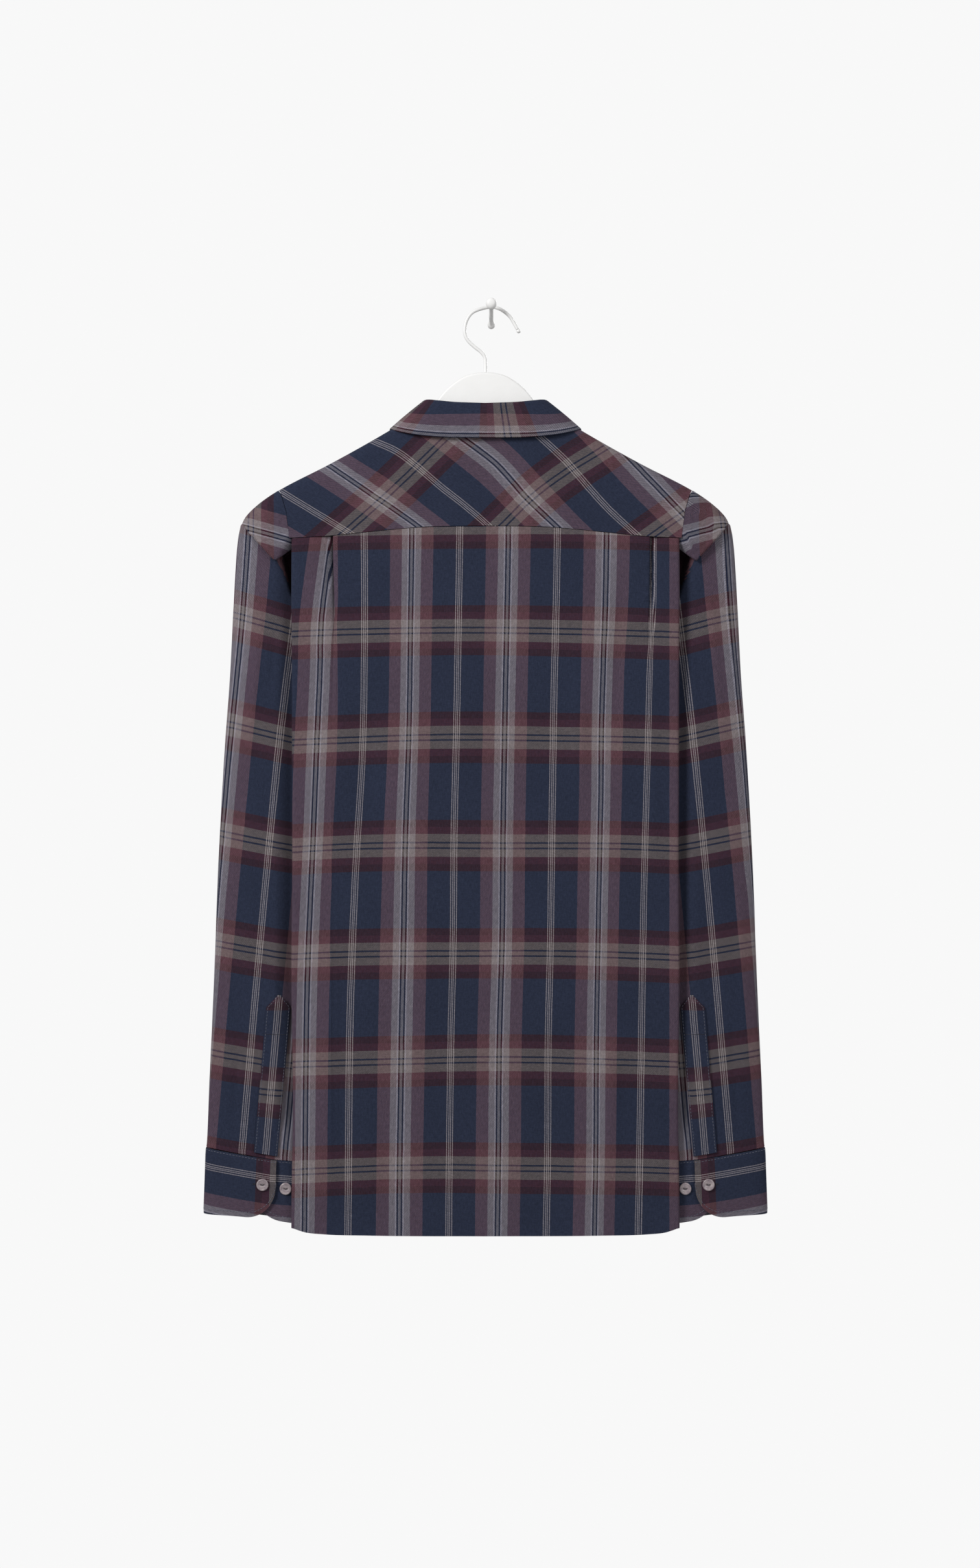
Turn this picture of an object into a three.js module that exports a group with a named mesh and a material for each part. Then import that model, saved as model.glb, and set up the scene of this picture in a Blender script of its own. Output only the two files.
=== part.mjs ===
// A flannel shirt, buttoned up on a board hanger that hangs from a wall peg.
// Millimetres, +Z up. The wall is the plane Y = 0 and the shirt's back faces -Y.
// The origin is the middle of the peg's flat face on the wall.

import * as THREE from 'three';

const { clamp, lerp, smoothstep } = THREE.MathUtils;

// Cloth
const CLOTH = 1.4;
const COLLAR_CLOTH = 1.8;
const CUFF_CLOTH = 2.2;
const STRIP_CLOTH = 1.2;
const SEAM_GAP = 0.3;

// Places of the whole shirt
const CENTRE_X = -5.4;
const MIDDLE_Y = -24;
const HALF_DEPTH = 15.3;
const SHOULDER_ROUNDING = 3;
const BACK_HALF_WIDTH = 178.8;
const FRONT_HALF_WIDTH = 176.4;
const FRONT_TOP_HALF_WIDTH = 180.4;
const FRONT_WIDEN_FOOT_Z = -226;
const FRONT_WIDEN_TOP_Z = -206;
const FOLD_RADIUS = 2.1;
const SIDE_SEAM_X = 84;
const UNDERARM_Z = -402;
const YOKE_SEAM_EDGE_Z = -204.6;
const HEM_Z = -851;
const HEM_RISE_START_Z = -760;

// Side cloth, from the edge fold in to the side seam or to the lap under the armhole
const SIDE_STEPS = [0.4, 0.72, 0.9, 1];
const SIDE_CURL = 4;
const SIDE_SEAM_DEPTH = 0.95;
const FOLD_TURNS = 4;
const ARMHOLE_LAP = 3.2;
const ARMHOLE_LEAST_SIDE = 3;
const ARMHOLE_LAP_DEPTH = 9.5;
const UNDERARM_RUN_ABOVE = 6;
const UNDERARM_RUN_BELOW = 8;

// Shoulder line, from the middle of the neck to the tip
const SHOULDER = [
  { x: 0, z: -84 },
  { x: 40, z: -85.5 },
  { x: 68, z: -91 },
  { x: 88, z: -103.2 },
  { x: 145, z: -135.3 },
  { x: 190.5, z: -158.8 },
  { x: 207.5, z: -169.1 },
  { x: 217.6, z: -177.6 },
  { x: 223.6, z: -183 },
];

// Hem, higher at its corners
const HEM = [
  { x: 0, rise: -0.4 },
  { x: 107, rise: 0.2 },
  { x: 150, rise: 1.4 },
  { x: 167, rise: 3.2 },
  { x: 178, rise: 6.8 },
];

// Yoke seam across the back, arched
const YOKE_SEAM = [
  { x: 0, rise: 11.2 },
  { x: 60, rise: 9.9 },
  { x: 110, rise: 5.4 },
  { x: 150, rise: 1.4 },
  { x: 181, rise: 0 },
];

// Armhole seam, from the shoulder down to the underarm. depth is measured from the middle of the shirt.
const ARMHOLE = [
  { z: -161.9, x: 189.5, depth: 3 },
  { z: -165.5, x: 187, depth: 9.3 },
  { z: -180, x: 183.4, depth: 12.9 },
  { z: -203, x: 181.3, depth: 13.2 },
  { z: -211, x: 181.6, depth: 12 },
  { z: -219, x: 181.6, depth: 9 },
  { z: -230, x: 176.5, depth: 7.8 },
  { z: -250, x: 167, depth: 7.8 },
  { z: -300, x: 142, depth: 7.8 },
  { z: -350, x: 119, depth: 7.8 },
  { z: -394, x: 102, depth: 6.5 },
  { z: -400, x: 99.5, depth: 2.5 },
];

// Front neckline, from the middle to the yoke
const FRONT_NECK = [
  { x: 0, z: -206 },
  { x: 24, z: -198 },
  { x: 45, z: -174 },
  { x: 60, z: -147 },
  { x: 70, z: -124.5 },
];
const YOKE_FRONT_NECK = { x: 72, drop: 28 };
const YOKE_FRONT_ARM = { x: 184, drop: 33.8 };

// The yoke runs from one front seam round the neck to the other, in spokes from the neckline to its
// outer edge. A drop is below the shoulder line, and a negative one lies on the front.
const YOKE_BACK_SPOKES = [
  { neckX: 0, neckDrop: 23.4, outX: 0 },
  { neckX: 12, neckDrop: 22.6, outX: 32 },
  { neckX: 25, neckDrop: 20.5, outX: 66 },
  { neckX: 37, neckDrop: 17, outX: 100 },
  { neckX: 46, neckDrop: 13, outX: 132 },
  { neckX: 53, neckDrop: 9, outX: 160 },
  { neckX: 58, neckDrop: 6, outX: 181.6 },
];
const YOKE_SHOULDER_SPOKES = [
  { neckX: 62, neckDrop: 3.6, outX: 184.6, outDrop: 24 },
  { neckX: 65, neckDrop: 1.8, outX: 188.6, outDrop: 8 },
  { neckX: 66.5, neckDrop: 0.8, outX: 191, outDrop: 2 },
  { neckX: 67.5, neckDrop: 0, outX: 192, outDrop: 0 },
  { neckX: 68.4, neckDrop: -1, outX: 191, outDrop: -2 },
  { neckX: 69, neckDrop: -4, outX: 188.6, outDrop: -8 },
  { neckX: 70.5, neckDrop: -15, outX: 186, outDrop: -20 },
];
const YOKE_RINGS = 8;
const YOKE_CHORD = 0.4;

// Heights of the rows of points down the body
const BODY_ROWS = [
  -204.6, -213, -222, -234, -254, -280, -312, -350, -396, -411,
  -455, -510, -570, -630, -690, -750, -800, -832, -851,
];

// Places of the columns of points across the back and across one front, and where the slant of
// their top edges has run out
const BACK_COLUMNS = [-162, -124, -104, -82, -56, -28, 0, 28, 60, 86, 106, 124, 140, 164];
const BACK_TOP_REACH_Z = -320;
const FRONT_COLUMNS = [14, 28, 42, 56, 70, 74, 92, 112, 132, 152, 168];
const FRONT_TOP_REACH_Z = -330;

// Knife pleats below the yoke
const PLEATS = [
  { x: -141, foot: -337, underlay: 7, away: -1 },
  { x: 151, foot: -280, underlay: 5, away: 1 },
];
const PLEAT_LAYER = 2.4;

// Points across a pleat, in the order of the cloth. shut and open are offsets from its fold line, where
// the pleat has run out and where it is full; under is 1 on its underlay; layer counts down into the shirt.
const PLEAT_POINTS = [
  { shut: 0, open: 0, under: 0, layer: 0 },
  { shut: 0.4, open: 1.2, under: 0, layer: 0.5 },
  { shut: 0.8, open: 0, under: 0, layer: 1 },
  { shut: 1.2, open: 0.4, under: 1, layer: 1 },
  { shut: 1.6, open: -0.8, under: 1, layer: 1.5 },
  { shut: 2, open: 1.2, under: 1, layer: 2 },
  { shut: 2.6, open: 2.6, under: 0, layer: 2 },
];

// Soft folds of the back and front: a ridge stands out, a trough has a negative height
const BACK_FOLDS = [
  { x: 86, top: -325, foot: -452, width: 9, height: 1.6 },
  { x: 118, top: -655, foot: -800, width: 10, height: 1.5 },
  { x: -60, top: -560, foot: -790, width: 16, height: 1.2 },
  { x: 30, top: -380, foot: -600, width: 20, height: -1.3 },
  { x: -108, top: -330, foot: -520, width: 13, height: -1.4 },
];
const FRONT_FOLDS = [
  { x: 92, top: -300, foot: -560, width: 13, height: 1.5 },
  { x: -84, top: -420, foot: -760, width: 15, height: 1.6 },
  { x: 130, top: -600, foot: -800, width: 11, height: -1.4 },
  { x: -126, top: -290, foot: -470, width: 12, height: -1.2 },
];

// Sleeve rings below the armhole. out is the outer edge and in the underarm edge; hug is how much
// of the armhole's run the ring keeps; cap is the part of its upper cloth that stands out as a flap.
const SLEEVE = [
  { outX: 207, outZ: -171, inX: 100, inZ: -401, hug: 1, cap: 1, half: 7.6 },
  { outX: 226, outZ: -189, inX: 100.5, inZ: -402, hug: 1, cap: 1, half: 7.6 },
  { outX: 227.6, outZ: -191.5, inX: 101, inZ: -403, hug: 1, cap: 0, half: 7.4 },
  { outX: 230, outZ: -204, inX: 101.5, inZ: -404, hug: 0.9, cap: 0, half: 7.6 },
  { outX: 232, outZ: -226, inX: 102, inZ: -405, hug: 0.7, cap: 0, half: 7.6 },
  { outX: 234.6, outZ: -273, inX: 103, inZ: -408, hug: 0.45, cap: 0, half: 7.6 },
  { outX: 237.7, outZ: -334, inX: 104, inZ: -412, hug: 0.2, cap: 0, half: 7.8 },
  { outX: 242, outZ: -392, inX: 105.5, inZ: -420, hug: 0, cap: 0, half: 8 },
  { outX: 245.5, outZ: -450, inX: 107.5, inZ: -468, hug: 0, cap: 0, half: 8.2 },
  { outX: 249, outZ: -520, inX: 111.5, inZ: -534, hug: 0, cap: 0, half: 8.6 },
  { outX: 251.5, outZ: -590, inX: 117.5, inZ: -603, hug: 0, cap: 0, half: 8.8 },
  { outX: 254, outZ: -650, inX: 125, inZ: -665, hug: 0, cap: 0, half: 8.6 },
  { outX: 256.6, outZ: -705, inX: 133, inZ: -722, hug: 0, cap: 0, half: 8.4 },
  { outX: 258.6, outZ: -745, inX: 138.5, inZ: -762, hug: 0, cap: 0, half: 8.2 },
  { outX: 260, outZ: -769.7, inX: 141, inZ: -784.6, hug: 0, cap: 0, half: 8, onCuff: true },
];
const FREE_SLEEVE = SLEEVE.filter((row) => row.hug === 0);
const RING_SQUARENESS = 2.6;
const RING_LEAST_HALF = 0.9;
const CAP_FALLOFF = 3.5;
// Shares of the way round a ring from its outer to its inner edge, one for each armhole row
const RING_STEPS = [0, 0.027, 0.085, 0.173, 0.2, 0.23, 0.273, 0.358, 0.573, 0.785, 0.97, 1];

// Collar, from the middle of the back to the middle of the front. fold is its top edge, edge the
// lower edge of the turned-down part, and neck the seam below the stand, as a drop from the shoulder line.
const COLLAR = [
  { foldX: 0, foldY: -39.4, foldZ: -80.6, edgeX: 0, edgeY: -43.6, edgeZ: -112.5, neckX: 0, neckDrop: 23.4 },
  { foldX: 26, foldY: -39, foldZ: -79.6, edgeX: 34, edgeY: -43.4, edgeZ: -112, neckX: 25, neckDrop: 20.5 },
  { foldX: 43, foldY: -36.8, foldZ: -77.8, edgeX: 62, edgeY: -42.8, edgeZ: -109.8, neckX: 46, neckDrop: 13 },
  { foldX: 51, foldY: -32, foldZ: -76.6, edgeX: 80, edgeY: -40, edgeZ: -104.8, neckX: 58, neckDrop: 6.4 },
  { foldX: 54.4, foldY: -27.4, foldZ: -76.6, edgeX: 86, edgeY: -33, edgeZ: -98.8, neckX: 64, neckDrop: 2 },
  { foldX: 55.4, foldY: -23, foldZ: -77.6, edgeX: 88, edgeY: -24, edgeZ: -99.2, neckX: 65.8, neckDrop: 0.3 },
  { foldX: 55, foldY: -18.6, foldZ: -80.6, edgeX: 89, edgeY: -13, edgeZ: -101, neckX: 66.2, neckDrop: -1.2 },
  { foldX: 53, foldY: -12.6, foldZ: -88, edgeX: 89.6, edgeY: -5.6, edgeZ: -112, neckX: 67.2, neckDrop: -9 },
  { foldX: 46, foldY: -9, foldZ: -107, edgeX: 88, edgeY: -4.9, edgeZ: -146, neckX: 65, neckDrop: -38 },
  { foldX: 33, foldY: -8, foldZ: -133, edgeX: 79, edgeY: -4.8, edgeZ: -185, neckX: 47.5, neckDrop: -82 },
  { foldX: 18, foldY: -7.8, foldZ: -157, edgeX: 61, edgeY: -4.8, edgeZ: -217, neckX: 26.5, neckDrop: -109 },
  { foldX: 6, foldY: -7.8, foldZ: -170, edgeX: 43, edgeY: -4.8, edgeZ: -238, neckX: 7, neckDrop: -118.8 },
];
const COLLAR_FOLD_RADIUS = 2.2;
const COLLAR_TURN = 7;
const COLLAR_LIFT = 1.2;
const STAND_END_X = 9;
const COLLAR_FALL_STEPS = [0.35, 0.68, 1];
const COLLAR_STAND_STEPS = [0, 0.5, 1];

// Cuffs
const CUFF_HEIGHT = 62.6;
const CUFF_TOP_OUTER_Z = -770;
const CUFF_OUTER_X = 260;
const CUFF_SLOPE = 0.17;
const CUFF_LEVEL_X = 198;
const CUFF_HIDDEN_SLOPE = 0.08;
const CUFF_LEAN = 0.035;
const CUFF_CORNER = 22;
const CUFF_CORNER_SHARE = 0.96;
const CUFF_SEAM_GAP = 0.8;
const CUFF_ROWS = [0, 0.34, 0.67, 1];
const CUFF_PATH = [
  { x: 194, depth: 10.2, end: 'over' },
  { x: 199, depth: 10.2, end: 'over' },
  { x: 205, depth: 10.1, end: 'over' },
  { x: 213, depth: 9.9, end: 'over' },
  { x: 228, depth: 9.3, end: 'over' },
  { x: 247, depth: 7.4 },
  { x: 256.6, depth: 4.4 },
  { x: 259.6, depth: 0 },
  { x: 256.6, depth: -4.4 },
  { x: 247, depth: -6.6 },
  { x: 222, depth: -7.6 },
  { x: 185, depth: -7.8 },
  { x: 156, depth: -6.8 },
  { x: 146.4, depth: -4 },
  { x: 143.4, depth: 0 },
  { x: 146.4, depth: 4 },
  { x: 156, depth: 6.4 },
  { x: 178, depth: 7, end: 'under' },
  { x: 200, depth: 7.1, end: 'under' },
  { x: 216, depth: 7.1, end: 'under' },
];

// Sleeve plackets
const SLEEVE_PLACKET_TOP_Z = -629;
const SLEEVE_PLACKET_FOOT_Z = -776.5;
const SLEEVE_PLACKET_TOP_X = 191.5;
const SLEEVE_PLACKET_FOOT_X = 204;
const SLEEVE_PLACKET_WIDTH = 21.5;
const SLEEVE_PLACKET_POINT = 11;
const SLEEVE_PLACKET_TIP = 0.02;
const SLEEVE_PLACKET_TIP_HALF = 1.2;
const SLEEVE_PLACKET_STEPS = [0.25, 0.45, 0.65, 0.85, 1];
const SLEEVE_PLACKET_CHORD = 0.25;
const STRIP_COLUMNS = [-1, -0.5, 0, 0.5, 1];

// Front placket and buttons
const FRONT_OVERLAP = 15;
const PLACKET_WIDTH = 33;
const PLACKET_LIFT = CLOTH / 2 + SEAM_GAP + STRIP_CLOTH / 2;
const UNDERLAP_DROP = 1.75;
const UNDERLAP_X = 17;
const UNDERLAP_END_X = 31;
const BUTTON_RADIUS = 5.7;
const BUTTON_THICK = 2.2;
const BUTTON_SIDES = 14;

// A button's section from its back to its face, as shares of its radius and thickness
const BUTTON_PROFILE = [
  { r: 0, h: 0 },
  { r: 0.88, h: 0 },
  { r: 1, h: 0.4 },
  { r: 0.93, h: 1 },
  { r: 0.74, h: 1 },
  { r: 0.62, h: 0.72 },
  { r: 0, h: 0.72 },
];
const FRONT_BUTTON_COUNT = 7;
const FRONT_BUTTON_TOP_Z = -262;
const FRONT_BUTTON_STEP = 88;
const COLLAR_BUTTON_Z = -189.5;
const COLLAR_BUTTON_DEPTH = 16;
const CUFF_BUTTON_Z = -804.4;
const CUFF_BUTTONS = [
  { name: 'fastened', x: 206.8, drop: 0, depth: 11.3 },
  { name: 'spare', x: 185.6, drop: 4.2, depth: 8.2 },
];

// Hanger and peg
const HANGER_THICK = 10;
const HANGER_EDGE = 2;
const HOOK_WIRE = 1.6;
const HOOK_TIP = 2;
const HOOK_STEPS = 48;
const HOOK_SIDES = 8;
const HOOK_ROUTE = [
  { x: 24.4, z: -8.2 },
  { x: 22, z: -4 },
  { x: 17.6, z: 3.2 },
  { x: 12, z: 8.2 },
  { x: 6, z: 11.4 },
  { x: 0, z: 12.4 },
  { x: -10.2, z: 10.6 },
  { x: -18, z: 7 },
  { x: -22.8, z: 0.4 },
  { x: -24.7, z: -6.9 },
  { x: -24.4, z: -13.5 },
  { x: -21.6, z: -19 },
  { x: -15.7, z: -24.7 },
  { x: -9.1, z: -30 },
  { x: -6, z: -34.6 },
  { x: -5.4, z: -40 },
  { x: -5.4, z: -48.6 },
];
const HANGER_NECK = [
  { x: 0, z: -49 },
  { x: 17, z: -51.6 },
  { x: 30, z: -59 },
  { x: 41, z: -69.4 },
  { x: 47.4, z: -79 },
  { x: 51.6, z: -87.6 },
  { x: 60, z: -91.8 },
  { x: 68, z: -94 },
];
const HANGER_ARM = [78, 88, 98, 115, 132, 150, 166, 177];
const HANGER_DROP = 1.6;
const HANGER_END = [
  { x: 184, z: -161 },
  { x: 191, z: -168.5 },
  { x: 197, z: -175 },
  { x: 199, z: -182 },
  { x: 194, z: -189 },
  { x: 185, z: -190 },
  { x: 150, z: -176 },
  { x: 88, z: -146 },
  { x: 40, z: -125 },
  { x: 0, z: -118 },
];

// The peg's section, from its foot on the wall out to its head
const PEG_PROFILE = [
  { radius: 0, out: 0 },
  { radius: 3.4, out: 0 },
  { radius: 3.4, out: 2.4 },
  { radius: 2, out: 4 },
  { radius: 2, out: 31.8 },
  { radius: 3.3, out: 33.4 },
  { radius: 4.7, out: 34.6 },
  { radius: 5, out: 36.4 },
  { radius: 4.5, out: 38.4 },
  { radius: 2.75, out: 39.7 },
  { radius: 0, out: 40 },
];
const PEG_RISE = 8.5 / 24;
const PEG_SIDES = 18;

// Colours
const NAVY = 0x34384c;
const PLUM = 0x4a2f38;
const WHITE = 0xf2f1ef;
const PEARL = 0x8a7f88;

function cloth(colour = NAVY) {
  return new THREE.MeshStandardMaterial({ color: colour, roughness: 0.95, metalness: 0 });
}

function lacquer() {
  return new THREE.MeshStandardMaterial({ color: WHITE, roughness: 0.45, metalness: 0 });
}

function pearl() {
  return new THREE.MeshStandardMaterial({ color: PEARL, roughness: 0.35, metalness: 0 });
}

const group = new THREE.Group();

function add(name, geometry, material) {
  const mesh = new THREE.Mesh(geometry, material);
  mesh.name = name;
  group.add(mesh);
  return mesh;
}

// A column of a table, read smoothly at any place along the table's first column
function read(rows, key, column, at) {
  const rising = rows[rows.length - 1][key] > rows[0][key] ? 1 : -1;
  const last = rows.length - 1;
  const place = clamp(at * rising, rows[0][key] * rising, rows[last][key] * rising);
  let i = 0;
  while (i < last - 1 && rows[i + 1][key] * rising < place) i += 1;
  const step = (k) => rows[k + 1][key] * rising - rows[k][key] * rising;
  const slope = (k) => (rows[k + 1][column] - rows[k][column]) / step(k);
  const tangent = (k) => {
    if (k <= 0) return slope(0);
    if (k >= last) return slope(last - 1);
    return (slope(k - 1) * step(k) + slope(k) * step(k - 1)) / (step(k - 1) + step(k));
  };
  const h = step(i);
  const t = (place - rows[i][key] * rising) / h;
  const start = rows[i][column] * (2 * t ** 3 - 3 * t ** 2 + 1);
  const end = rows[i + 1][column] * (3 * t ** 2 - 2 * t ** 3);
  const out = tangent(i) * h * (t ** 3 - 2 * t ** 2 + t);
  const into = tangent(i + 1) * h * (t ** 3 - t ** 2);
  return start + end + out + into;
}

const shoulderZ = (x) => read(SHOULDER, 'x', 'z', Math.abs(x));

// Half the depth of the hollow shirt at a place below the shoulder line
function halfDepth(x, z) {
  const drop = Math.max(0, shoulderZ(x) - z);
  return HALF_DEPTH * Math.sqrt(drop / (drop + SHOULDER_ROUNDING));
}

// The shirt's back is at side 1 and its front at side -1
function place(x, z, depth, side) {
  return new THREE.Vector3(CENTRE_X + x, MIDDLE_Y - side * depth, z);
}

function shell(x, z, side) {
  return place(x, z, halfDepth(x, z), side);
}

// Unit normals of a grid of points
function gridNormals(grid, closed) {
  const rows = grid.length;
  const columns = grid[0].length;
  return grid.map((row, i) => row.map((_, j) => {
    const up = grid[Math.max(0, i - 1)][j];
    const down = grid[Math.min(rows - 1, i + 1)][j];
    const before = closed ? row[(j + columns - 1) % columns] : row[Math.max(0, j - 1)];
    const after = closed ? row[(j + 1) % columns] : row[Math.min(columns - 1, j + 1)];
    const along = after.clone().sub(before);
    return along.cross(down.clone().sub(up)).normalize();
  }));
}

// A closed solid of even thickness on a grid of middle points. Rows that close on themselves make a tube.
function wall(grid, thick, closed = false) {
  const rows = grid.length;
  const columns = grid[0].length;
  const normals = gridNormals(grid, closed);
  const points = [];
  for (const side of [1, -1]) {
    grid.forEach((row, i) => row.forEach((p, j) => {
      const q = p.clone().addScaledVector(normals[i][j], side * thick / 2);
      points.push(q.x, q.y, q.z);
    }));
  }
  const faces = [];
  const far = rows * columns;
  const id = (i, j) => i * columns + (j % columns);
  const quad = (a, b, c, d) => faces.push(a, b, c, a, c, d);
  const across = closed ? columns : columns - 1;
  for (let i = 0; i < rows - 1; i += 1) {
    for (let j = 0; j < across; j += 1) {
      const [a, b, c, d] = [id(i, j), id(i, j + 1), id(i + 1, j + 1), id(i + 1, j)];
      quad(a, d, c, b);
      quad(far + a, far + b, far + c, far + d);
    }
    if (!closed) {
      const end = columns - 1;
      quad(id(i, 0), far + id(i, 0), far + id(i + 1, 0), id(i + 1, 0));
      quad(id(i, end), id(i + 1, end), far + id(i + 1, end), far + id(i, end));
    }
  }
  for (let j = 0; j < across; j += 1) {
    const foot = rows - 1;
    quad(id(0, j), id(0, j + 1), far + id(0, j + 1), far + id(0, j));
    quad(id(foot, j), far + id(foot, j), far + id(foot, j + 1), id(foot, j + 1));
  }
  return faceOut(points, faces);
}

// A geometry from points and faces, turned so that its faces point out
function faceOut(points, faces) {
  const corner = (k) => new THREE.Vector3().fromArray(points, 3 * faces[k]);
  let volume = 0;
  for (let k = 0; k < faces.length; k += 3) {
    volume += corner(k).dot(corner(k + 1).cross(corner(k + 2)));
  }
  if (volume < 0) {
    for (let k = 0; k < faces.length; k += 3) {
      [faces[k + 1], faces[k + 2]] = [faces[k + 2], faces[k + 1]];
    }
  }
  const geometry = new THREE.BufferGeometry();
  geometry.setAttribute('position', new THREE.Float32BufferAttribute(points, 3));
  geometry.setIndex(faces);
  geometry.computeVertexNormals();
  return geometry;
}

// Height of the soft folds at a place
function foldHeight(folds, x, z) {
  let height = 0;
  for (const fold of folds) {
    const middle = (fold.top + fold.foot) / 2;
    const reach = (fold.top - fold.foot) / 2;
    const along = Math.max(0, 1 - ((z - middle) / reach) ** 2);
    height += fold.height * along * Math.exp(-(((x - fold.x) / fold.width) ** 2));
  }
  return height;
}

function aboveUnderarm(z) {
  return smoothstep(z, UNDERARM_Z - UNDERARM_RUN_BELOW, UNDERARM_Z + UNDERARM_RUN_ABOVE);
}

// Where the body's side cloth ends, at the armhole above the underarm and at the side seam below it
function sideReach(z, half) {
  const armhole = read(ARMHOLE, 'z', 'x', z) - ARMHOLE_LAP;
  const above = Math.min(half - FOLD_RADIUS - ARMHOLE_LEAST_SIDE, armhole);
  return lerp(SIDE_SEAM_X, above, aboveUnderarm(z));
}

// Half a section of the body, from the edge fold in to the side seam, as x and depth
function sideFold(z, half) {
  const inner = half - FOLD_RADIUS;
  const depth = halfDepth(half, z) - FOLD_RADIUS;
  const points = [];
  for (let turn = 0; turn <= FOLD_TURNS; turn += 1) {
    const angle = Math.PI * turn / FOLD_TURNS;
    points.push([inner + FOLD_RADIUS * Math.sin(angle), depth + FOLD_RADIUS * Math.cos(angle)]);
  }
  const reach = sideReach(z, half);
  const endDepth = lerp(SIDE_SEAM_DEPTH, ARMHOLE_LAP_DEPTH, aboveUnderarm(z));
  for (const step of SIDE_STEPS) {
    const start = depth - FOLD_RADIUS;
    points.push([lerp(inner, reach, step), lerp(start, endDepth, step ** SIDE_CURL)]);
  }
  return points;
}

// The flat part of the back, with its pleats as folds of three layers
function backFlat(z) {
  const columns = BACK_COLUMNS.map((x) => [x, 0]);
  for (const pleat of PLEATS) {
    const open = smoothstep(z, pleat.foot, YOKE_SEAM_EDGE_Z);
    for (const point of PLEAT_POINTS) {
      const offset = lerp(point.shut, point.open - point.under * pleat.underlay, open);
      columns.push([pleat.x + pleat.away * offset, point.layer * PLEAT_LAYER * open]);
    }
  }
  return columns;
}

// The columns of a pleat follow the cloth, so they stand between the panel's own columns in their order
function backRow(z) {
  const flat = backFlat(z);
  const own = flat.slice(0, BACK_COLUMNS.length);
  const pleatColumns = (flat.length - own.length) / PLEATS.length;
  const [left, right] = PLEATS.map((_, k) => {
    const start = own.length + k * pleatColumns;
    return flat.slice(start, start + pleatColumns);
  });
  const before = own.filter(([x]) => x < PLEATS[0].x);
  const between = own.filter(([x]) => x > PLEATS[0].x && x < PLEATS[1].x);
  const after = own.filter(([x]) => x > PLEATS[1].x);
  return [...before, ...left.reverse(), ...between, ...right, ...after];
}

function bodyZ(x, rowZ, topOffset, topReach) {
  const top = topOffset * clamp((rowZ - topReach) / (YOKE_SEAM_EDGE_Z - topReach), 0, 1);
  const hem = read(HEM, 'x', 'rise', Math.abs(x)) * smoothstep(-rowZ, -HEM_RISE_START_Z, -HEM_Z);
  return rowZ + top + hem;
}

function buildBack() {
  const grid = BODY_ROWS.map((rowZ) => {
    const side = sideFold(rowZ, BACK_HALF_WIDTH);
    const at = (x, depth) => {
      const seam = read(YOKE_SEAM, 'x', 'rise', Math.abs(x)) - SEAM_GAP;
      return place(x, bodyZ(x, rowZ, seam, BACK_TOP_REACH_Z), depth, 1);
    };
    const flat = backRow(rowZ).map(([x, drop]) => {
      const depth = halfDepth(x, rowZ) - drop + foldHeight(BACK_FOLDS, x, rowZ);
      return at(x, depth);
    });
    const right = side.map(([x, depth]) => at(x, depth));
    const left = side.map(([x, depth]) => at(-x, depth)).reverse();
    return [...left, ...flat, ...right];
  });
  add('back_panel', wall(grid, CLOTH), cloth());
}

function yokeFrontDrop(x) {
  const { x: neckX, drop: neckDrop } = YOKE_FRONT_NECK;
  return lerp(neckDrop, YOKE_FRONT_ARM.drop, (x - neckX) / (YOKE_FRONT_ARM.x - neckX));
}

function frontTopZ(x) {
  if (x < YOKE_FRONT_NECK.x) return read(FRONT_NECK, 'x', 'z', x) - SEAM_GAP;
  return shoulderZ(x) - yokeFrontDrop(x) - SEAM_GAP - YOKE_CHORD;
}

function frontHalf(z) {
  return lerp(FRONT_HALF_WIDTH, FRONT_TOP_HALF_WIDTH, smoothstep(z, FRONT_WIDEN_FOOT_Z, FRONT_WIDEN_TOP_Z));
}

// One front. The one with the placket lies over the other at the middle.
function frontGrid(sign) {
  const over = sign < 0;
  return BODY_ROWS.map((rowZ) => {
    const side = sideFold(rowZ, frontHalf(rowZ));
    const at = (x, depth) => {
      const top = frontTopZ(x) - YOKE_SEAM_EDGE_Z;
      return place(sign * x, bodyZ(Math.max(0, x), rowZ, top, FRONT_TOP_REACH_Z), depth, -1);
    };
    const flat = [-FRONT_OVERLAP, ...FRONT_COLUMNS].map((x) => {
      const under = over ? 0 : UNDERLAP_DROP * (1 - smoothstep(x, UNDERLAP_X, UNDERLAP_END_X));
      return at(x, halfDepth(x, rowZ) - under + foldHeight(FRONT_FOLDS, sign * x, rowZ));
    });
    return [...flat, ...side.map(([x, depth]) => at(x, depth))];
  });
}

function buildFronts() {
  const left = frontGrid(-1);
  add('front_left', wall(left, CLOTH), cloth());
  add('front_right', wall(frontGrid(1), CLOTH), cloth());
  const grid = left.map((row) => {
    const z = row[0].z;
    return [-1, 0, 1].map((k) => {
      const x = k * PLACKET_WIDTH / 2;
      return place(x, z, halfDepth(x, z) + PLACKET_LIFT, -1);
    });
  });
  add('front_placket', wall(grid, STRIP_CLOTH), cloth());
}

function yokeSpokes() {
  const seamDrop = (x) => shoulderZ(x) - (YOKE_SEAM_EDGE_Z + read(YOKE_SEAM, 'x', 'rise', x) + SEAM_GAP / 2);
  const back = YOKE_BACK_SPOKES.map((spoke) => ({ ...spoke, outDrop: seamDrop(spoke.outX) }));
  const front = {
    neckX: YOKE_FRONT_NECK.x,
    neckDrop: -YOKE_FRONT_NECK.drop,
    outX: YOKE_FRONT_ARM.x,
    outDrop: -YOKE_FRONT_ARM.drop,
  };
  return [...back, ...YOKE_SHOULDER_SPOKES, front];
}

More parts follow.
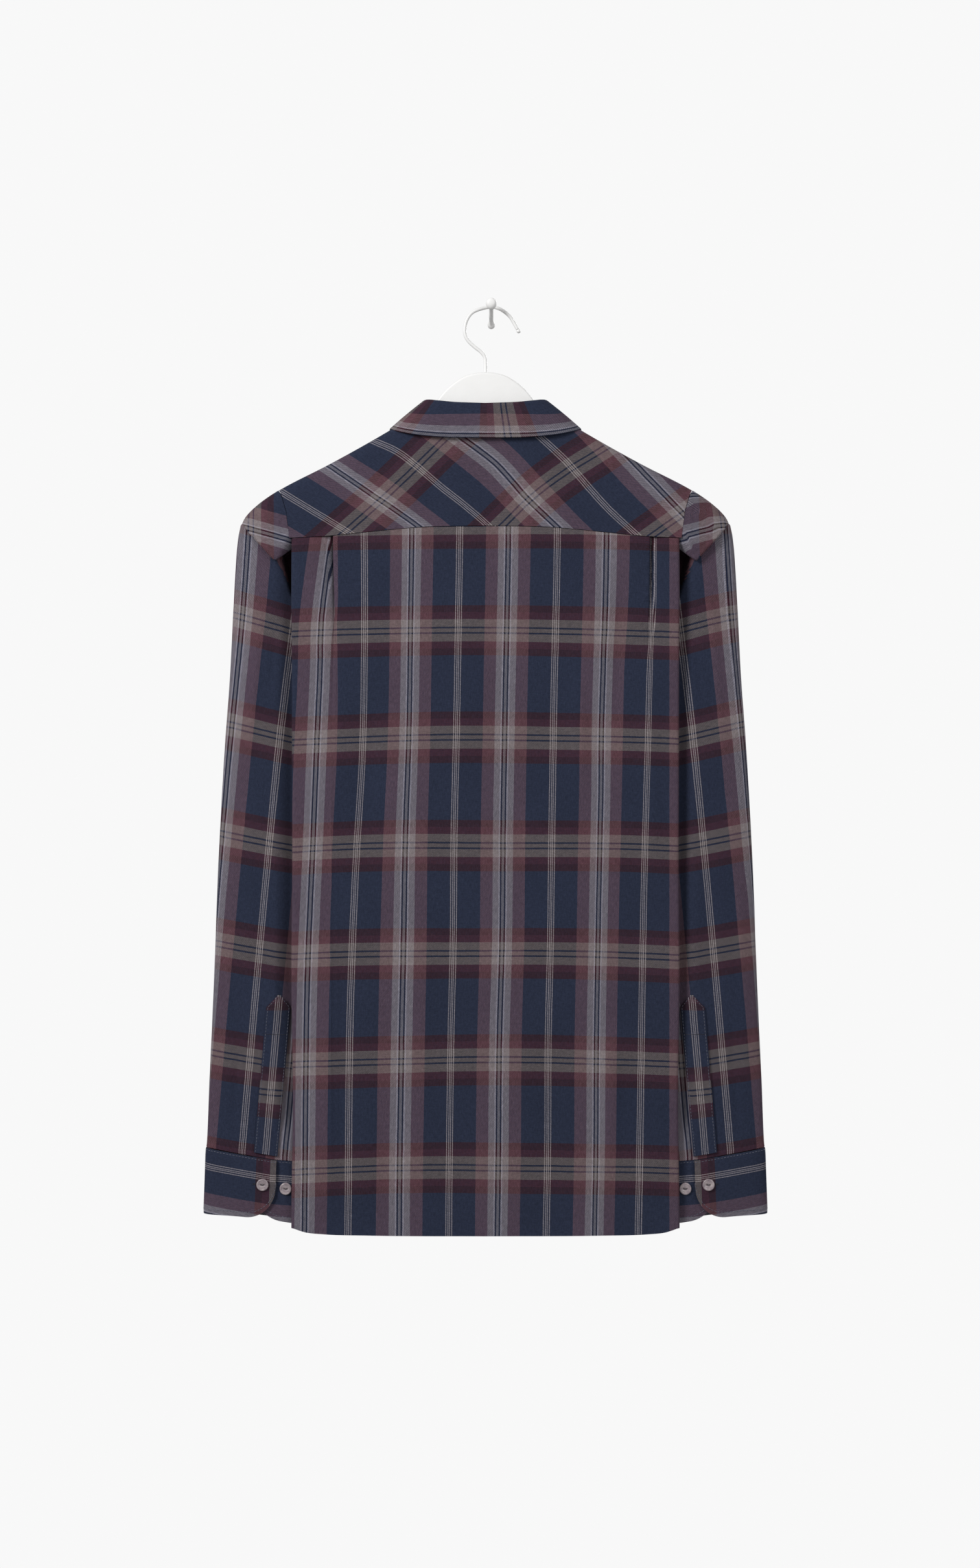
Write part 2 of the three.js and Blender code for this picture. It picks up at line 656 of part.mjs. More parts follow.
function buildYoke() {
  const spokes = yokeSpokes();
  const spokePoint = (spoke, ring, sign) => {
    const t = ring / YOKE_RINGS;
    const x = lerp(spoke.neckX, spoke.outX, t);
    const drop = lerp(spoke.neckDrop, spoke.outDrop, t);
    return shell(sign * x, shoulderZ(x) - Math.abs(drop), drop < 0 ? -1 : 1);
  };
  const grid = [];
  for (let ring = 0; ring <= YOKE_RINGS; ring += 1) {
    const right = spokes.map((spoke) => spokePoint(spoke, ring, 1));
    const left = spokes.slice(1).map((spoke) => spokePoint(spoke, ring, -1)).reverse();
    grid.push([...left, ...right]);
  }
  add('yoke', wall(grid, CLOTH), cloth(PLUM));
}

// The collar's rows on both sides, mirrored about the middle of the back. down runs from the fold
// into the cloth, and out is square to it and to the fold, away from the neck.
function collarRows() {
  const right = COLLAR.map((row) => ({ ...row, sign: 1 }));
  const left = COLLAR.slice(1).map((row) => ({ ...row, sign: -1 })).reverse();
  const rows = [...left, ...right].map((row) => {
    const fold = new THREE.Vector3(CENTRE_X + row.sign * row.foldX, row.foldY, row.foldZ);
    const edge = new THREE.Vector3(CENTRE_X + row.sign * row.edgeX, row.edgeY, row.edgeZ);
    const neckZ = shoulderZ(row.neckX) - Math.abs(row.neckDrop) + COLLAR_LIFT;
    const neck = shell(row.sign * row.neckX, neckZ, row.neckDrop < 0 ? -1 : 1);
    return { fold, edge, neck };
  });
  return rows.map((row, k) => {
    const before = rows[Math.max(0, k - 1)].fold;
    const after = rows[Math.min(rows.length - 1, k + 1)].fold;
    const down = row.edge.clone().add(row.neck).multiplyScalar(0.5).sub(row.fold).normalize();
    const out = after.clone().sub(before).cross(down).normalize();
    if (out.dot(row.edge.clone().sub(row.neck)) < 0) out.negate();
    return { ...row, down, out };
  });
}

function buildCollar() {
  const rows = collarRows();
  const half = Math.SQRT1_2;
  const arc = [
    { down: COLLAR_TURN, out: -1 },
    { down: COLLAR_FOLD_RADIUS, out: -1 },
    { down: COLLAR_FOLD_RADIUS * (1 - half), out: -half },
    { down: 0, out: 0 },
    { down: COLLAR_FOLD_RADIUS * (1 - half), out: half },
    { down: COLLAR_FOLD_RADIUS, out: 1 },
  ];
  const arcPoint = (row, step) => row.fold.clone()
    .addScaledVector(row.down, step.down)
    .addScaledVector(row.out, step.out * COLLAR_FOLD_RADIUS);
  const fall = arc.map((step) => rows.map((row) => arcPoint(row, step)));
  for (const t of COLLAR_FALL_STEPS) {
    fall.push(rows.map((row) => arcPoint(row, arc[arc.length - 1]).lerp(row.edge, t)));
  }
  add('collar_fall', wall(fall, COLLAR_CLOTH), cloth());

  const topStep = { down: COLLAR_TURN + 2 * SEAM_GAP, out: -1 };
  const stand = COLLAR_STAND_STEPS.map((t) => {
    const points = rows.map((row) => arcPoint(row, topStep).lerp(row.neck, t));
    const closing = points[0].clone().setX(CENTRE_X + STAND_END_X);
    points[points.length - 1].setX(CENTRE_X + STAND_END_X + 1.5 * SEAM_GAP);
    return [closing, ...points];
  });
  add('collar_stand', wall(stand, COLLAR_CLOTH), cloth(PLUM));
}

function ringProfile(t) {
  return (1 - Math.abs(2 * t - 1) ** RING_SQUARENESS) ** (1 / RING_SQUARENESS);
}

function sleeveRing(row) {
  const top = ARMHOLE[0];
  const foot = ARMHOLE[ARMHOLE.length - 1];
  return RING_STEPS.map((t, k) => {
    const seam = ARMHOLE[k];
    const away = (1 - t) ** CAP_FALLOFF;
    const hugX = seam.x + (row.outX - top.x) * away + (row.inX - foot.x) * t;
    const hugZ = seam.z + (row.outZ - top.z) * away + (row.inZ - foot.z) * t;
    const x = lerp(lerp(row.outX, row.inX, t), hugX, row.hug);
    const plainZ = row.onCuff ? cuffTopZ(x) + CUFF_SEAM_GAP : lerp(row.outZ, row.inZ, t);
    const z = lerp(plainZ, hugZ, row.hug);
    const plain = Math.max(RING_LEAST_HALF, row.half * ringProfile(t));
    return { x, z, depth: lerp(plain, seam.depth, row.cap) };
  });
}

function sleeveGrid(sign) {
  const rings = [ARMHOLE, ...SLEEVE.map(sleeveRing)];
  return rings.map((ring) => {
    const back = ring.map(({ x, z, depth }) => place(sign * x, z, depth, 1));
    const front = ring.map(({ x, z, depth }) => place(sign * x, z, depth, -1)).reverse();
    return [...back, ...front];
  });
}

// A point on the sleeve's cloth towards the back, lifted off it
function sleeveSurface(x, z, lift) {
  const outX = read(FREE_SLEEVE, 'outZ', 'outX', z);
  const inX = read(FREE_SLEEVE, 'inZ', 'inX', z);
  const half = read(FREE_SLEEVE, 'outZ', 'half', z);
  const t = clamp((outX - x) / (outX - inX), 0, 1);
  return half * ringProfile(t) + lift;
}

function buildSleeve(name, sign) {
  add(`sleeve_${name}`, wall(sleeveGrid(sign), CLOTH, true), cloth());

  const pointEnd = SLEEVE_PLACKET_POINT / (SLEEVE_PLACKET_TOP_Z - SLEEVE_PLACKET_FOOT_Z);
  const lift = CLOTH / 2 + SEAM_GAP + STRIP_CLOTH / 2 + SLEEVE_PLACKET_CHORD;
  const grid = [0, SLEEVE_PLACKET_TIP, pointEnd, ...SLEEVE_PLACKET_STEPS].map((t) => {
    const z = lerp(SLEEVE_PLACKET_TOP_Z, SLEEVE_PLACKET_FOOT_Z, t);
    const middle = lerp(SLEEVE_PLACKET_TOP_X, SLEEVE_PLACKET_FOOT_X, t);
    const half = lerp(SLEEVE_PLACKET_TIP_HALF, SLEEVE_PLACKET_WIDTH / 2, clamp(t / pointEnd, 0, 1));
    return STRIP_COLUMNS.map((k) => {
      const x = middle + k * half;
      const slant = (middle - x) * CUFF_SLOPE * t;
      return place(sign * x, z - slant, sleeveSurface(x, z, lift), 1);
    });
  });
  add(`sleeve_placket_${name}`, wall(grid, STRIP_CLOTH), cloth());
}

// Cuffs: a band that goes once round and laps over its own end, with round corners
function cuffTopZ(x) {
  const shown = (CUFF_OUTER_X - Math.max(x, CUFF_LEVEL_X)) * CUFF_SLOPE;
  const hidden = Math.max(0, CUFF_LEVEL_X - x) * CUFF_HIDDEN_SLOPE;
  return CUFF_TOP_OUTER_Z - shown - hidden;
}

function buildCuff(name, sign) {
  const over = CUFF_PATH[0].x;
  const under = CUFF_PATH[CUFF_PATH.length - 1].x;
  const grid = CUFF_ROWS.map((t) => CUFF_PATH.map(({ x, depth, end }) => {
    const onEnd = end === 'over' ? x - over : under - x;
    const inCorner = clamp(CUFF_CORNER - onEnd, 0, CUFF_CORNER);
    const cut = end ? CUFF_CORNER - Math.sqrt(CUFF_CORNER ** 2 - inCorner ** 2) : 0;
    const z = cuffTopZ(x) - t * (CUFF_HEIGHT - cut * CUFF_CORNER_SHARE);
    const lean = CUFF_LEAN * (cuffTopZ(x) - z);
    return place(sign * (x + lean), z, depth, 1);
  }));
  add(`cuff_${name}`, wall(grid, CUFF_CLOTH), cloth());

  for (const spec of CUFF_BUTTONS) {
    const button = add(`cuff_button_${name}_${spec.name}`, buttonGeometry(), pearl());
    button.position.copy(place(sign * spec.x, CUFF_BUTTON_Z - spec.drop, spec.depth + SEAM_GAP, 1));
  }
}

// A round button with a raised rim, its flat back at y = 0 and its face towards -Y
function buttonGeometry() {
  const profile = BUTTON_PROFILE.map(({ r, h }) => new THREE.Vector2(r * BUTTON_RADIUS, h * BUTTON_THICK));
  return new THREE.LatheGeometry(profile, BUTTON_SIDES).rotateX(Math.PI);
}

function buildFrontButtons() {
  const face = HALF_DEPTH + PLACKET_LIFT + STRIP_CLOTH / 2 + SEAM_GAP;
  for (let k = 0; k < FRONT_BUTTON_COUNT; k += 1) {
    const button = add(`front_button_${k + 1}`, buttonGeometry(), pearl());
    button.rotation.z = Math.PI;
    button.position.copy(place(0, FRONT_BUTTON_TOP_Z - k * FRONT_BUTTON_STEP, face, -1));
  }
  const collarButton = add('collar_button', buttonGeometry(), pearl());
  collarButton.rotation.z = Math.PI;
  collarButton.position.copy(place(0, COLLAR_BUTTON_Z, COLLAR_BUTTON_DEPTH, -1));
}

// Hanger: a flat board with rounded edges, and a wire hook in its top
function buildHanger() {
  const arm = HANGER_ARM.map((x) => ({ x, z: shoulderZ(x) - HANGER_DROP }));
  const half = [...HANGER_NECK, ...arm, ...HANGER_END];
  const right = half.map((p) => new THREE.Vector2(p.x, p.z));
  const left = right.slice(1, -1).map((p) => new THREE.Vector2(-p.x, p.y)).reverse();
  const shape = new THREE.Shape([...right, ...left]);
  const board = new THREE.ExtrudeGeometry(shape, {
    depth: HANGER_THICK - 2 * HANGER_EDGE,
    bevelEnabled: true,
    bevelThickness: HANGER_EDGE,
    bevelSize: HANGER_EDGE,
    bevelOffset: -HANGER_EDGE,
    bevelSegments: 2,
  });
  board.rotateX(Math.PI / 2);
  board.translate(CENTRE_X, MIDDLE_Y + HANGER_THICK / 2 - HANGER_EDGE, 0);
  add('hanger_board', board, lacquer());

  const route = HOOK_ROUTE.map((p) => new THREE.Vector3(p.x, MIDDLE_Y, p.z));
  const curve = new THREE.CatmullRomCurve3(route, false, 'centripetal');
  const section = new THREE.Shape();
  section.absarc(0, 0, HOOK_WIRE, 0, 2 * Math.PI);
  const wire = new THREE.ExtrudeGeometry(section, {
    steps: HOOK_STEPS,
    curveSegments: HOOK_SIDES / 2,
    extrudePath: curve,
  });
  add('hanger_hook', wire, lacquer());

  const ball = new THREE.SphereGeometry(HOOK_TIP, 10, 6);
  const tip = add('hook_tip', ball, lacquer());
  const end = curve.getPoint(0);
  const away = curve.getTangent(0).multiplyScalar(-(HOOK_TIP + SEAM_GAP / 2));
  tip.position.copy(end.add(away));
}

// Wall peg: a stem that rises from the wall to a round head. Its foot is flat on the wall.
function buildPeg() {
  const profile = PEG_PROFILE.map(({ radius, out }) => new THREE.Vector2(radius, out));
  const peg = new THREE.LatheGeometry(profile, PEG_SIDES).rotateX(Math.PI);
  peg.applyMatrix4(new THREE.Matrix4().set(1, 0, 0, 0, 0, 1, 0, 0, 0, -PEG_RISE, 1, 0, 0, 0, 0, 1));
  add('wall_peg', peg, lacquer());
}

buildBack();
buildYoke();
buildFronts();
buildCollar();
buildSleeve('left', -1);
buildSleeve('right', 1);
buildCuff('left', -1);
buildCuff('right', 1);
buildFrontButtons();
buildHanger();
buildPeg();

export default group;
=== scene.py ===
import math

import bpy
import numpy as np
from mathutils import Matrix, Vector


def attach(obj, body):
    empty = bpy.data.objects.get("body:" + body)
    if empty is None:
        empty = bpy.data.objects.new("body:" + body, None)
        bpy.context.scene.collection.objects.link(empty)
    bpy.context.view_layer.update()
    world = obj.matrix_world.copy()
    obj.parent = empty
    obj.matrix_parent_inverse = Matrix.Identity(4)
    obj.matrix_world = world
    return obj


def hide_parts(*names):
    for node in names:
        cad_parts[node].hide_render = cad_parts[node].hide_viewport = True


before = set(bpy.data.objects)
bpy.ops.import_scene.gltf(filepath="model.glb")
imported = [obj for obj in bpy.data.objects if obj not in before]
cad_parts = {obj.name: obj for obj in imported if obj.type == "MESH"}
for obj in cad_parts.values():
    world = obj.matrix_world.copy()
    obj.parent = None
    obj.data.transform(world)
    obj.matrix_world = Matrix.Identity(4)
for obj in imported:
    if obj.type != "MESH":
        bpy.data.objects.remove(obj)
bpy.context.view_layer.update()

# A flannel shirt on a board hanger and a wall peg, seen from its back.
# Sizes are in millimetres until a mesh is made. X is across, +Y goes into the wall, +Z is up.


def table(columns, rows):
    """A table as a dict of arrays, one for each named column."""
    return {name: np.array([row[k] for row in rows], float) for k, name in enumerate(columns.split())}


# Cloth
CLOTH = 1.3
COLLAR_CLOTH = 1.7
CUFF_CLOTH = 2.1
STRIP_CLOTH = 1.1
SEAM_GAP = 0.3

# Places of the whole shirt
CENTRE_X = -5.4
MIDDLE_Y = -24
HALF_DEPTH = 15.3
SHOULDER_ROUNDING = 3
BACK_HALF_WIDTH = 178.8
FOLD_RADIUS = 2.1
SIDE_SEAM_X = 84
SIDE_SEAM_DEPTH = 0.95
UNDERARM_Z = (-410, -396)
ARMHOLE_LAP = 3.2
ARMHOLE_LAP_DEPTH = 9.5
YOKE_SEAM_EDGE_Z = -204.6
HEM_Z = -851
HEM_RISE_START_Z = -760
BACK_TOP_END_Z = -320
FRONT_TOP_END_Z = -330
HEM_TURN = 0.45
HEM_TURN_Z = (-843.6, -845.4)

SHOULDER = table("x z", [
    (0, -84), (40, -85.5), (68, -91), (88, -103.2), (145, -135.3), (190.5, -158.8),
    (207.5, -169.1), (217.6, -177.6), (223.6, -183),
])
HEM = table("x rise", [(0, -0.4), (107, 0.2), (150, 1.4), (167, 3.2), (178, 6.8)])
YOKE_SEAM = table("x rise", [(0, 11.2), (60, 9.9), (110, 5.4), (150, 1.4), (181, 0)])
ARMHOLE = table("step z x depth", [
    (0, -161.9, 189.5, 3), (0.027, -165.5, 187, 9.3), (0.085, -180, 183.4, 12.9), (0.173, -203, 181.3, 13.2),
    (0.2, -211, 181.6, 12), (0.23, -219, 181.6, 9), (0.273, -230, 176.5, 7.8), (0.358, -250, 167, 7.8),
    (0.573, -300, 142, 7.8), (0.785, -350, 119, 7.8), (0.97, -394, 102, 6.5), (1, -400, 99.5, 2.5),
])
# Half the width of the fronts. It follows the armhole's seam at the top.
FRONT_EDGE = table("z half", [
    (-204.6, 183.5), (-215.6, 181.9), (-219.2, 178.8), (-222.7, 176.7), (-230, 176.4), (-851, 176.4),
])
FRONT_NECK = table("x z", [(0, -206), (24, -198), (45, -174), (60, -147), (70, -124.5)])
YOKE_FRONT_NECK = (72, 28)
YOKE_FRONT_ARM = (184, 33.8)

# Pleats below the yoke: the fold's place, where it has run out, how far it goes under, and which way
PLEATS = table("x foot underlay away", [(-139.8, -345, 4.6, -1), (151, -285, 3.4, 1)])
# How far each pleat is still folded, and the cloth it takes up, at heights below its top
PLEAT_SHUT = table("below left right", [
    (0, 1, 1), (15, 0.95, 0.95), (45, 0.85, 0.75), (70, 0.68, 0.4), (95, 0.45, 0.1), (115, 0.28, 0),
    (150, 0.1, 0), (195, 0, 0), (700, 0, 0),
])
PLEAT_TAKES = table("below left right", [
    (0, 15.3, 2.6), (15, 13, 2.2), (38, 9.6, 1.6), (80, 4.8, 0.8), (120, 4.2, 0), (200, 2.6, 0), (290, 4, 0),
    (415, 5, 0), (700, 5, 0),
])
PLEAT_LAYER = 2.0
PLEAT_FADE = 10
PLEAT_FALLOFF = 1.6
PLEAT_DIP = 2.2
PLEAT_DIP_WIDTH = 2.4
PLEAT_REACH = (-2.4, 6.5)
PLEAT_DRIFT = 2.6

# Soft folds: a ridge stands out, a trough has a negative height. lean is how far it drifts from top to foot.
FOLDS = "x top foot width height lean"
BACK_FOLDS = table(FOLDS, [
    (86, -325, -452, 8, 1.7, 2), (118, -655, -800, 9, 1.6, -4), (-60, -560, -790, 16, 1.2, -6),
    (30, -380, -600, 20, -1.3, 4), (-108, -330, -520, 13, -1.4, -5), (-24, -215, -420, 22, 0.9, 8),
    (126, -230, -390, 9, -1.2, -8), (-150, -560, -820, 9, 1.1, 3), (60, -640, -850, 13, -1.1, 3),
    (152, -330, -520, 8, 1, 4), (4, -700, -850, 18, 1, -5), (-96, -700, -850, 10, -0.9, 4),
])
FRONT_FOLDS = table(FOLDS, [
    (92, -300, -560, 13, 1.5, 3), (-84, -420, -760, 15, 1.6, -4), (130, -600, -800, 11, -1.4, 3),
    (-126, -290, -470, 12, -1.2, -3), (48, -240, -420, 12, 1.1, 6), (-46, -560, -830, 12, -1.1, 4),
    (-150, -600, -830, 9, 1.2, 2), (152, -330, -520, 9, 1.1, -2),
])

# Sleeve rings below the armhole
SLEEVE = table("ring outX outZ inX inZ hug half", [
    (0, 227.6, -191.5, 101, -403, 1, 7.4), (1, 230, -204, 101.5, -404, 0.9, 7.6),
    (2, 232, -226, 102, -405, 0.7, 7.6), (3, 234.6, -273, 103, -408, 0.45, 7.6),
    (4, 237.7, -334, 104, -412, 0.2, 7.8), (5, 242, -392, 105.5, -420, 0, 8),
    (6, 245.5, -450, 107.5, -468, 0, 8.2), (7, 249, -520, 111.5, -534, 0, 8.6),
    (8, 251.5, -590, 117.5, -603, 0, 8.8), (9, 254, -650, 125, -665, 0, 8.6),
    (10, 256.6, -705, 133, -722, 0, 8.4), (11, 258.6, -745, 138.5, -762, 0, 8.2),
    (12, 260, -769.7, 141, -784.6, 0, 8),
])
# The seam between the yoke and the sleeve, and the fold where the sleeve's cap turns under
CAP_SEAM = table("step x z", [
    (0, 192.4, -159.9), (0.012, 191.3, -161.3), (0.03, 189, -165.9), (0.085, 184.95, -179.8),
    (0.165, 182.2, -200.5), (0.18, 179, -204.5), (0.195, 176.4, -208.5), (0.215, 175.4, -213.5),
    (0.24, 174.4, -220), (0.273, 172.5, -230), (0.358, 165, -250), (0.573, 142, -300), (0.785, 119, -350),
    (0.97, 102, -394), (1, 99.5, -400),
])
CAP_OUTLINE = table("share x z", [
    (0, 192.4, -160.7), (0.3, 202.6, -167), (0.55, 211.4, -173.4), (0.78, 219.6, -180.8), (0.92, 224, -186.2),
    (1, 225.8, -190),
])
CAP_CORNER = (195, -223.8)
CAP_END = (177.5, -211.6)
CAP_UNDER_DEPTH = 8.8
CAP_CORNER_STEP = 0.15
CAP_END_STEP = 0.213
CAP_FALLOFF = 3.5
CAP_TUCK = 8
CAP_FLAT = 0.86
CAP_ROWS = 18
CAP_REPEAT = 17
CAP_RIDGE_Z = -160.2
UNDER_FOLD = (182.5, -249)
GROOVE_X = (196, 179.5)
GROOVE_DEPTH = 0.24
UNDER_CAP_DEPTH = 0.3
# Beside the body under the cap, a narrow gap goes in deep
GAP_X = (191, 182)
GAP_Z = (-214, -250)
GAP_DIVE = 13
# The check in the cap's turned cloth, as thread places at a spot and their change across and down,
# the part that shows in the fold under the cap, and painted shade in the gap: the check's darkest colour
CAP_WARP = ((198.2, -201.6), 0.275, -0.961)
CAP_WEFT = (208, 10.4, -1.1)
CAP_CREASE = (0.9, 391.6, 1.5, 0.45)
FOLD_CLOTH = ((185, -228), 14, 0.2, 0.08)
GAP_PAINTED_SHADE = (30, 20)
RING_SQUARENESS = 2.6
# The sleeves' folds, with x as the share of the way from the outer edge to the inner one
SLEEVE_FOLDS = table(FOLDS, [
    (0.16, -240, -420, 0.035, 1.2, 0), (0.3, -430, -640, 0.05, -1, 0), (0.1, -520, -720, 0.03, 0.9, 0),
    (0.42, -520, -740, 0.05, 1.1, 0), (0.2, -640, -770, 0.03, -0.9, 0), (0.62, -560, -760, 0.06, 1, 0),
    (0.28, -250, -360, 0.03, -1.2, 0),
])

COLLAR = table("at foldX foldY foldZ edgeX edgeY edgeZ neckX neckDrop", [
    (0, 0, -39.4, -80.6, 0, -43.6, -112.5, 0, 23.4),
    (1, 26, -39, -79.6, 34, -43.4, -112, 25, 20.5),
    (2, 43, -36.8, -77.8, 62, -42.8, -109.8, 46, 13),
    (3, 51, -32, -76.6, 80, -39.1, -106.2, 58, 6.4),
    (4, 54.4, -27.4, -76.6, 87, -32.4, -103.4, 64, 2),
    (5, 55.4, -23, -77.6, 88.6, -24, -101.9, 65.8, 0.3),
    (6, 55, -18.6, -80.6, 89.4, -13, -104.4, 66.2, -1.2),
    (7, 53, -12.6, -88, 89.6, -5.6, -112, 67.2, -9),
    (8, 46, -9, -107, 88, -4.9, -146, 65, -38),
    (9, 33, -8, -133, 79, -4.8, -185, 47.5, -82),
    (10, 18, -7.8, -157, 61, -4.8, -217, 26.5, -109),
    (11, 6, -7.8, -170, 43, -4.8, -238, 7, -118.8),
])
COLLAR_FOLD_RADIUS = 2.2
COLLAR_TURN = 7
COLLAR_LIFT = 1.2
STAND_END_X = 9

CUFF_FOOT = table("x z", [(143, -842.4), (180, -840.4), (200, -837), (226, -834.2), (260, -832.6)])
CUFF_TOP_OUTER_Z = -771.5
CUFF_OUTER_X = 260
CUFF_SLOPE = 0.17
CUFF_LEVEL_X = 198
CUFF_HIDDEN_SLOPE = 0.08
CUFF_LEAN = 0.035
CUFF_CORNER = (27, 31)
CUFF_OVER_END = 4
CUFF_UNDER_END = 17
CUFF_PATH = table("at x depth", [
    (0, 194, 10.2), (1, 199, 10.2), (2, 205, 10.1), (3, 213, 9.9), (4, 228, 9.3), (5, 247, 7.4),
    (6, 256.6, 4.4), (7, 259.6, 0), (8, 256.6, -4.4), (9, 247, -6.6), (10, 222, -7.6), (11, 185, -7.8),
    (12, 156, -6.8), (13, 146.4, -4), (14, 143.4, 0), (15, 146.4, 4), (16, 156, 6.4), (17, 178, 7),
    (18, 200, 7.1), (19, 216, 7.1),
])

SLEEVE_PLACKET_Z = (-629, -776.5)
SLEEVE_PLACKET_X = (191.5, 204)
SLEEVE_PLACKET_WIDTH = 21.5
SLEEVE_PLACKET_POINT = 11

FRONT_OVERLAP = 15
PLACKET_WIDTH = 33
PLACKET_LIFT = 1.6
UNDERLAP_DROP = 1.75
UNDERLAP_X = (17, 31)
FRONT_WARP_X = 7
# Thread places at the start of the other pieces
WHITE_GROUP = 45
PLACKET_WEFT = 14
COLLAR_THREADS = (-1.6, -18.4)
STAND_THREAD = 30
SLEEVE_PLACKET_WEFT_Z = -719
CUFF_THREADS = (61.5, 5)

# The check: places of its lines in the cloth of each piece
WARP_REPEAT = 90
WEFT_REPEAT = 99.6
BACK_WARP_X = 21.4
BACK_WEFT_Z = -290.4
RIGHT_WHITE = table("z x", [
    (-200, 155.8), (-253, 155.4), (-300, 153.4), (-400, 150.4), (-494, 147.6), (-800, 142), (-851, 141),
])
RIGHT_MAUVE_X = 170.4
LEFT_WHITE = table("z x", [
    (-200, -112.4), (-240, -112), (-330, -112.2), (-408, -114.2), (-492, -119.2), (-618, -124.6),
    (-851, -127.5),
])
LEFT_SEEN_X = (-130, -40)
LEFT_START_X = -60
RIGHT_SEEN_X = 90
RIGHT_START_X = 100
MAUVE_FROM_WHITE = 24.6
WEFT_SAG = 3.6
LEAN = table("z x", [(-200, 0), (-250, -0.8), (-432, -4.2), (-600, -7), (-851, -10.4)])


def read(rows, key, column, at):
    """A column of a table, read smoothly at places along another of its columns."""
    places, values, at = rows[key], rows[column], np.asarray(at, float)
    if places[-1] < places[0]:
        places, at = -places, -at
    at = np.clip(at, places[0], places[-1])
    step = np.diff(places)
    slope = np.diff(values) / step
    inner = (slope[:-1] * step[1:] + slope[1:] * step[:-1]) / (step[:-1] + step[1:])
    tangent = np.concatenate([slope[:1], inner, slope[-1:]])
    i = np.clip(np.searchsorted(places, at, side="right") - 1, 0, len(places) - 2)
    h = step[i]
    t = (at - places[i]) / h
    return (
        values[i] * (2 * t**3 - 3 * t**2 + 1) + values[i + 1] * (3 * t**2 - 2 * t**3)
        + tangent[i] * h * (t**3 - 2 * t**2 + t) + tangent[i + 1] * h * (t**3 - t**2)
    )


def smoothstep(x, low, high):
    t = np.clip((np.asarray(x, float) - low) / (high - low), 0, 1)
    return t * t * (3 - 2 * t)


def lerp(a, b, t):
    return a + (b - a) * t


def shoulder_z(x):
    return read(SHOULDER, "x", "z", np.abs(x))


def half_depth(x, z):
    drop = np.maximum(0, shoulder_z(x) - z)
    return HALF_DEPTH * np.sqrt(drop / (drop + SHOULDER_ROUNDING))


def place(x, z, depth, side):
    """The back is at side 1 and the front at side -1."""
    x, z, depth, side = np.broadcast_arrays(x, z, depth, side)
    return np.stack([CENTRE_X + x, MIDDLE_Y - side * depth, z], axis=-1)


def unit(a):
    return a / np.maximum(np.linalg.norm(a, axis=-1, keepdims=True), 1e-9)


def run_along(points, axis):
    """Length of cloth from the start of a grid along one of its axes."""
    step = np.linalg.norm(np.diff(points, axis=axis), axis=-1)
    zero = np.zeros_like(np.take(step, [0], axis=axis))
    return np.cumsum(np.concatenate([zero, step], axis=axis), axis=axis)


def ripple(a, b, seed, wave):
    """Slow unevenness between -1 and 1, the same at each run."""
    rng = np.random.default_rng(seed)
    total = 0
    for _ in range(6):
        angle, phase, size = rng.uniform(0, math.pi), rng.uniform(0, 2 * math.pi), rng.uniform(0.7, 1.6)
        along = a * math.cos(angle) + b * math.sin(angle)
        total = total + np.sin(along * 2 * math.pi * size / wave + phase)
    return total / 6


def fold_height(folds, x, z):
    total = 0
    for k in range(len(folds["x"])):
        top, foot = folds["top"][k], folds["foot"][k]
        along = np.clip(1 - ((z - (top + foot) / 2) / ((top - foot) / 2)) ** 2, 0, 1)
        middle = folds["x"][k] + folds["lean"][k] * (top - z) / (top - foot)
        total = total + folds["height"][k] * along * np.exp(-(((x - middle) / folds["width"][k]) ** 2))
    return total


# Meshes
SURFACES = {}


def to_object(name, points, faces, material, uv=None, sharp=50):
    """A mesh object from points in millimetres, the points' numbers in each face and a cloth map."""
    mesh = bpy.data.meshes.new(name)
    sizes = [len(face) for face in faces]
    corners = np.concatenate(faces)
    mesh.vertices.add(len(points))
    mesh.vertices.foreach_set("co", (np.asarray(points, np.float32) / 1000).ravel())
    mesh.loops.add(len(corners))
    mesh.loops.foreach_set("vertex_index", corners.astype(np.int32))
    mesh.polygons.add(len(sizes))
    mesh.polygons.foreach_set("loop_start", np.cumsum([0] + sizes[:-1]).astype(np.int32))
    mesh.polygons.foreach_set("use_smooth", np.ones(len(sizes), bool))
    if uv is not None:
        layer = mesh.uv_layers.new(name="Cloth")
        layer.data.foreach_set("uv", (np.asarray(uv, np.float32) / 1000).ravel())
    mesh.update(calc_edges=True)
    mesh.validate()
    mesh.set_sharp_from_angle(angle=math.radians(sharp))
    mesh.materials.append(material)
    obj = bpy.data.objects.new(name, mesh)
    bpy.context.scene.collection.objects.link(obj)
    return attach(obj, "root")


def normals_of(points, closed=False):
    if closed:
        wide = np.concatenate([points[:, -1:], points, points[:, :1]], axis=1)
    else:
        wide = np.concatenate([points[:, :1], points, points[:, -1:]], axis=1)
    tall = np.concatenate([points[:1], points, points[-1:]], axis=0)
    return unit(np.cross(wide[:, 2:] - wide[:, :-2], tall[2:] - tall[:-2]))


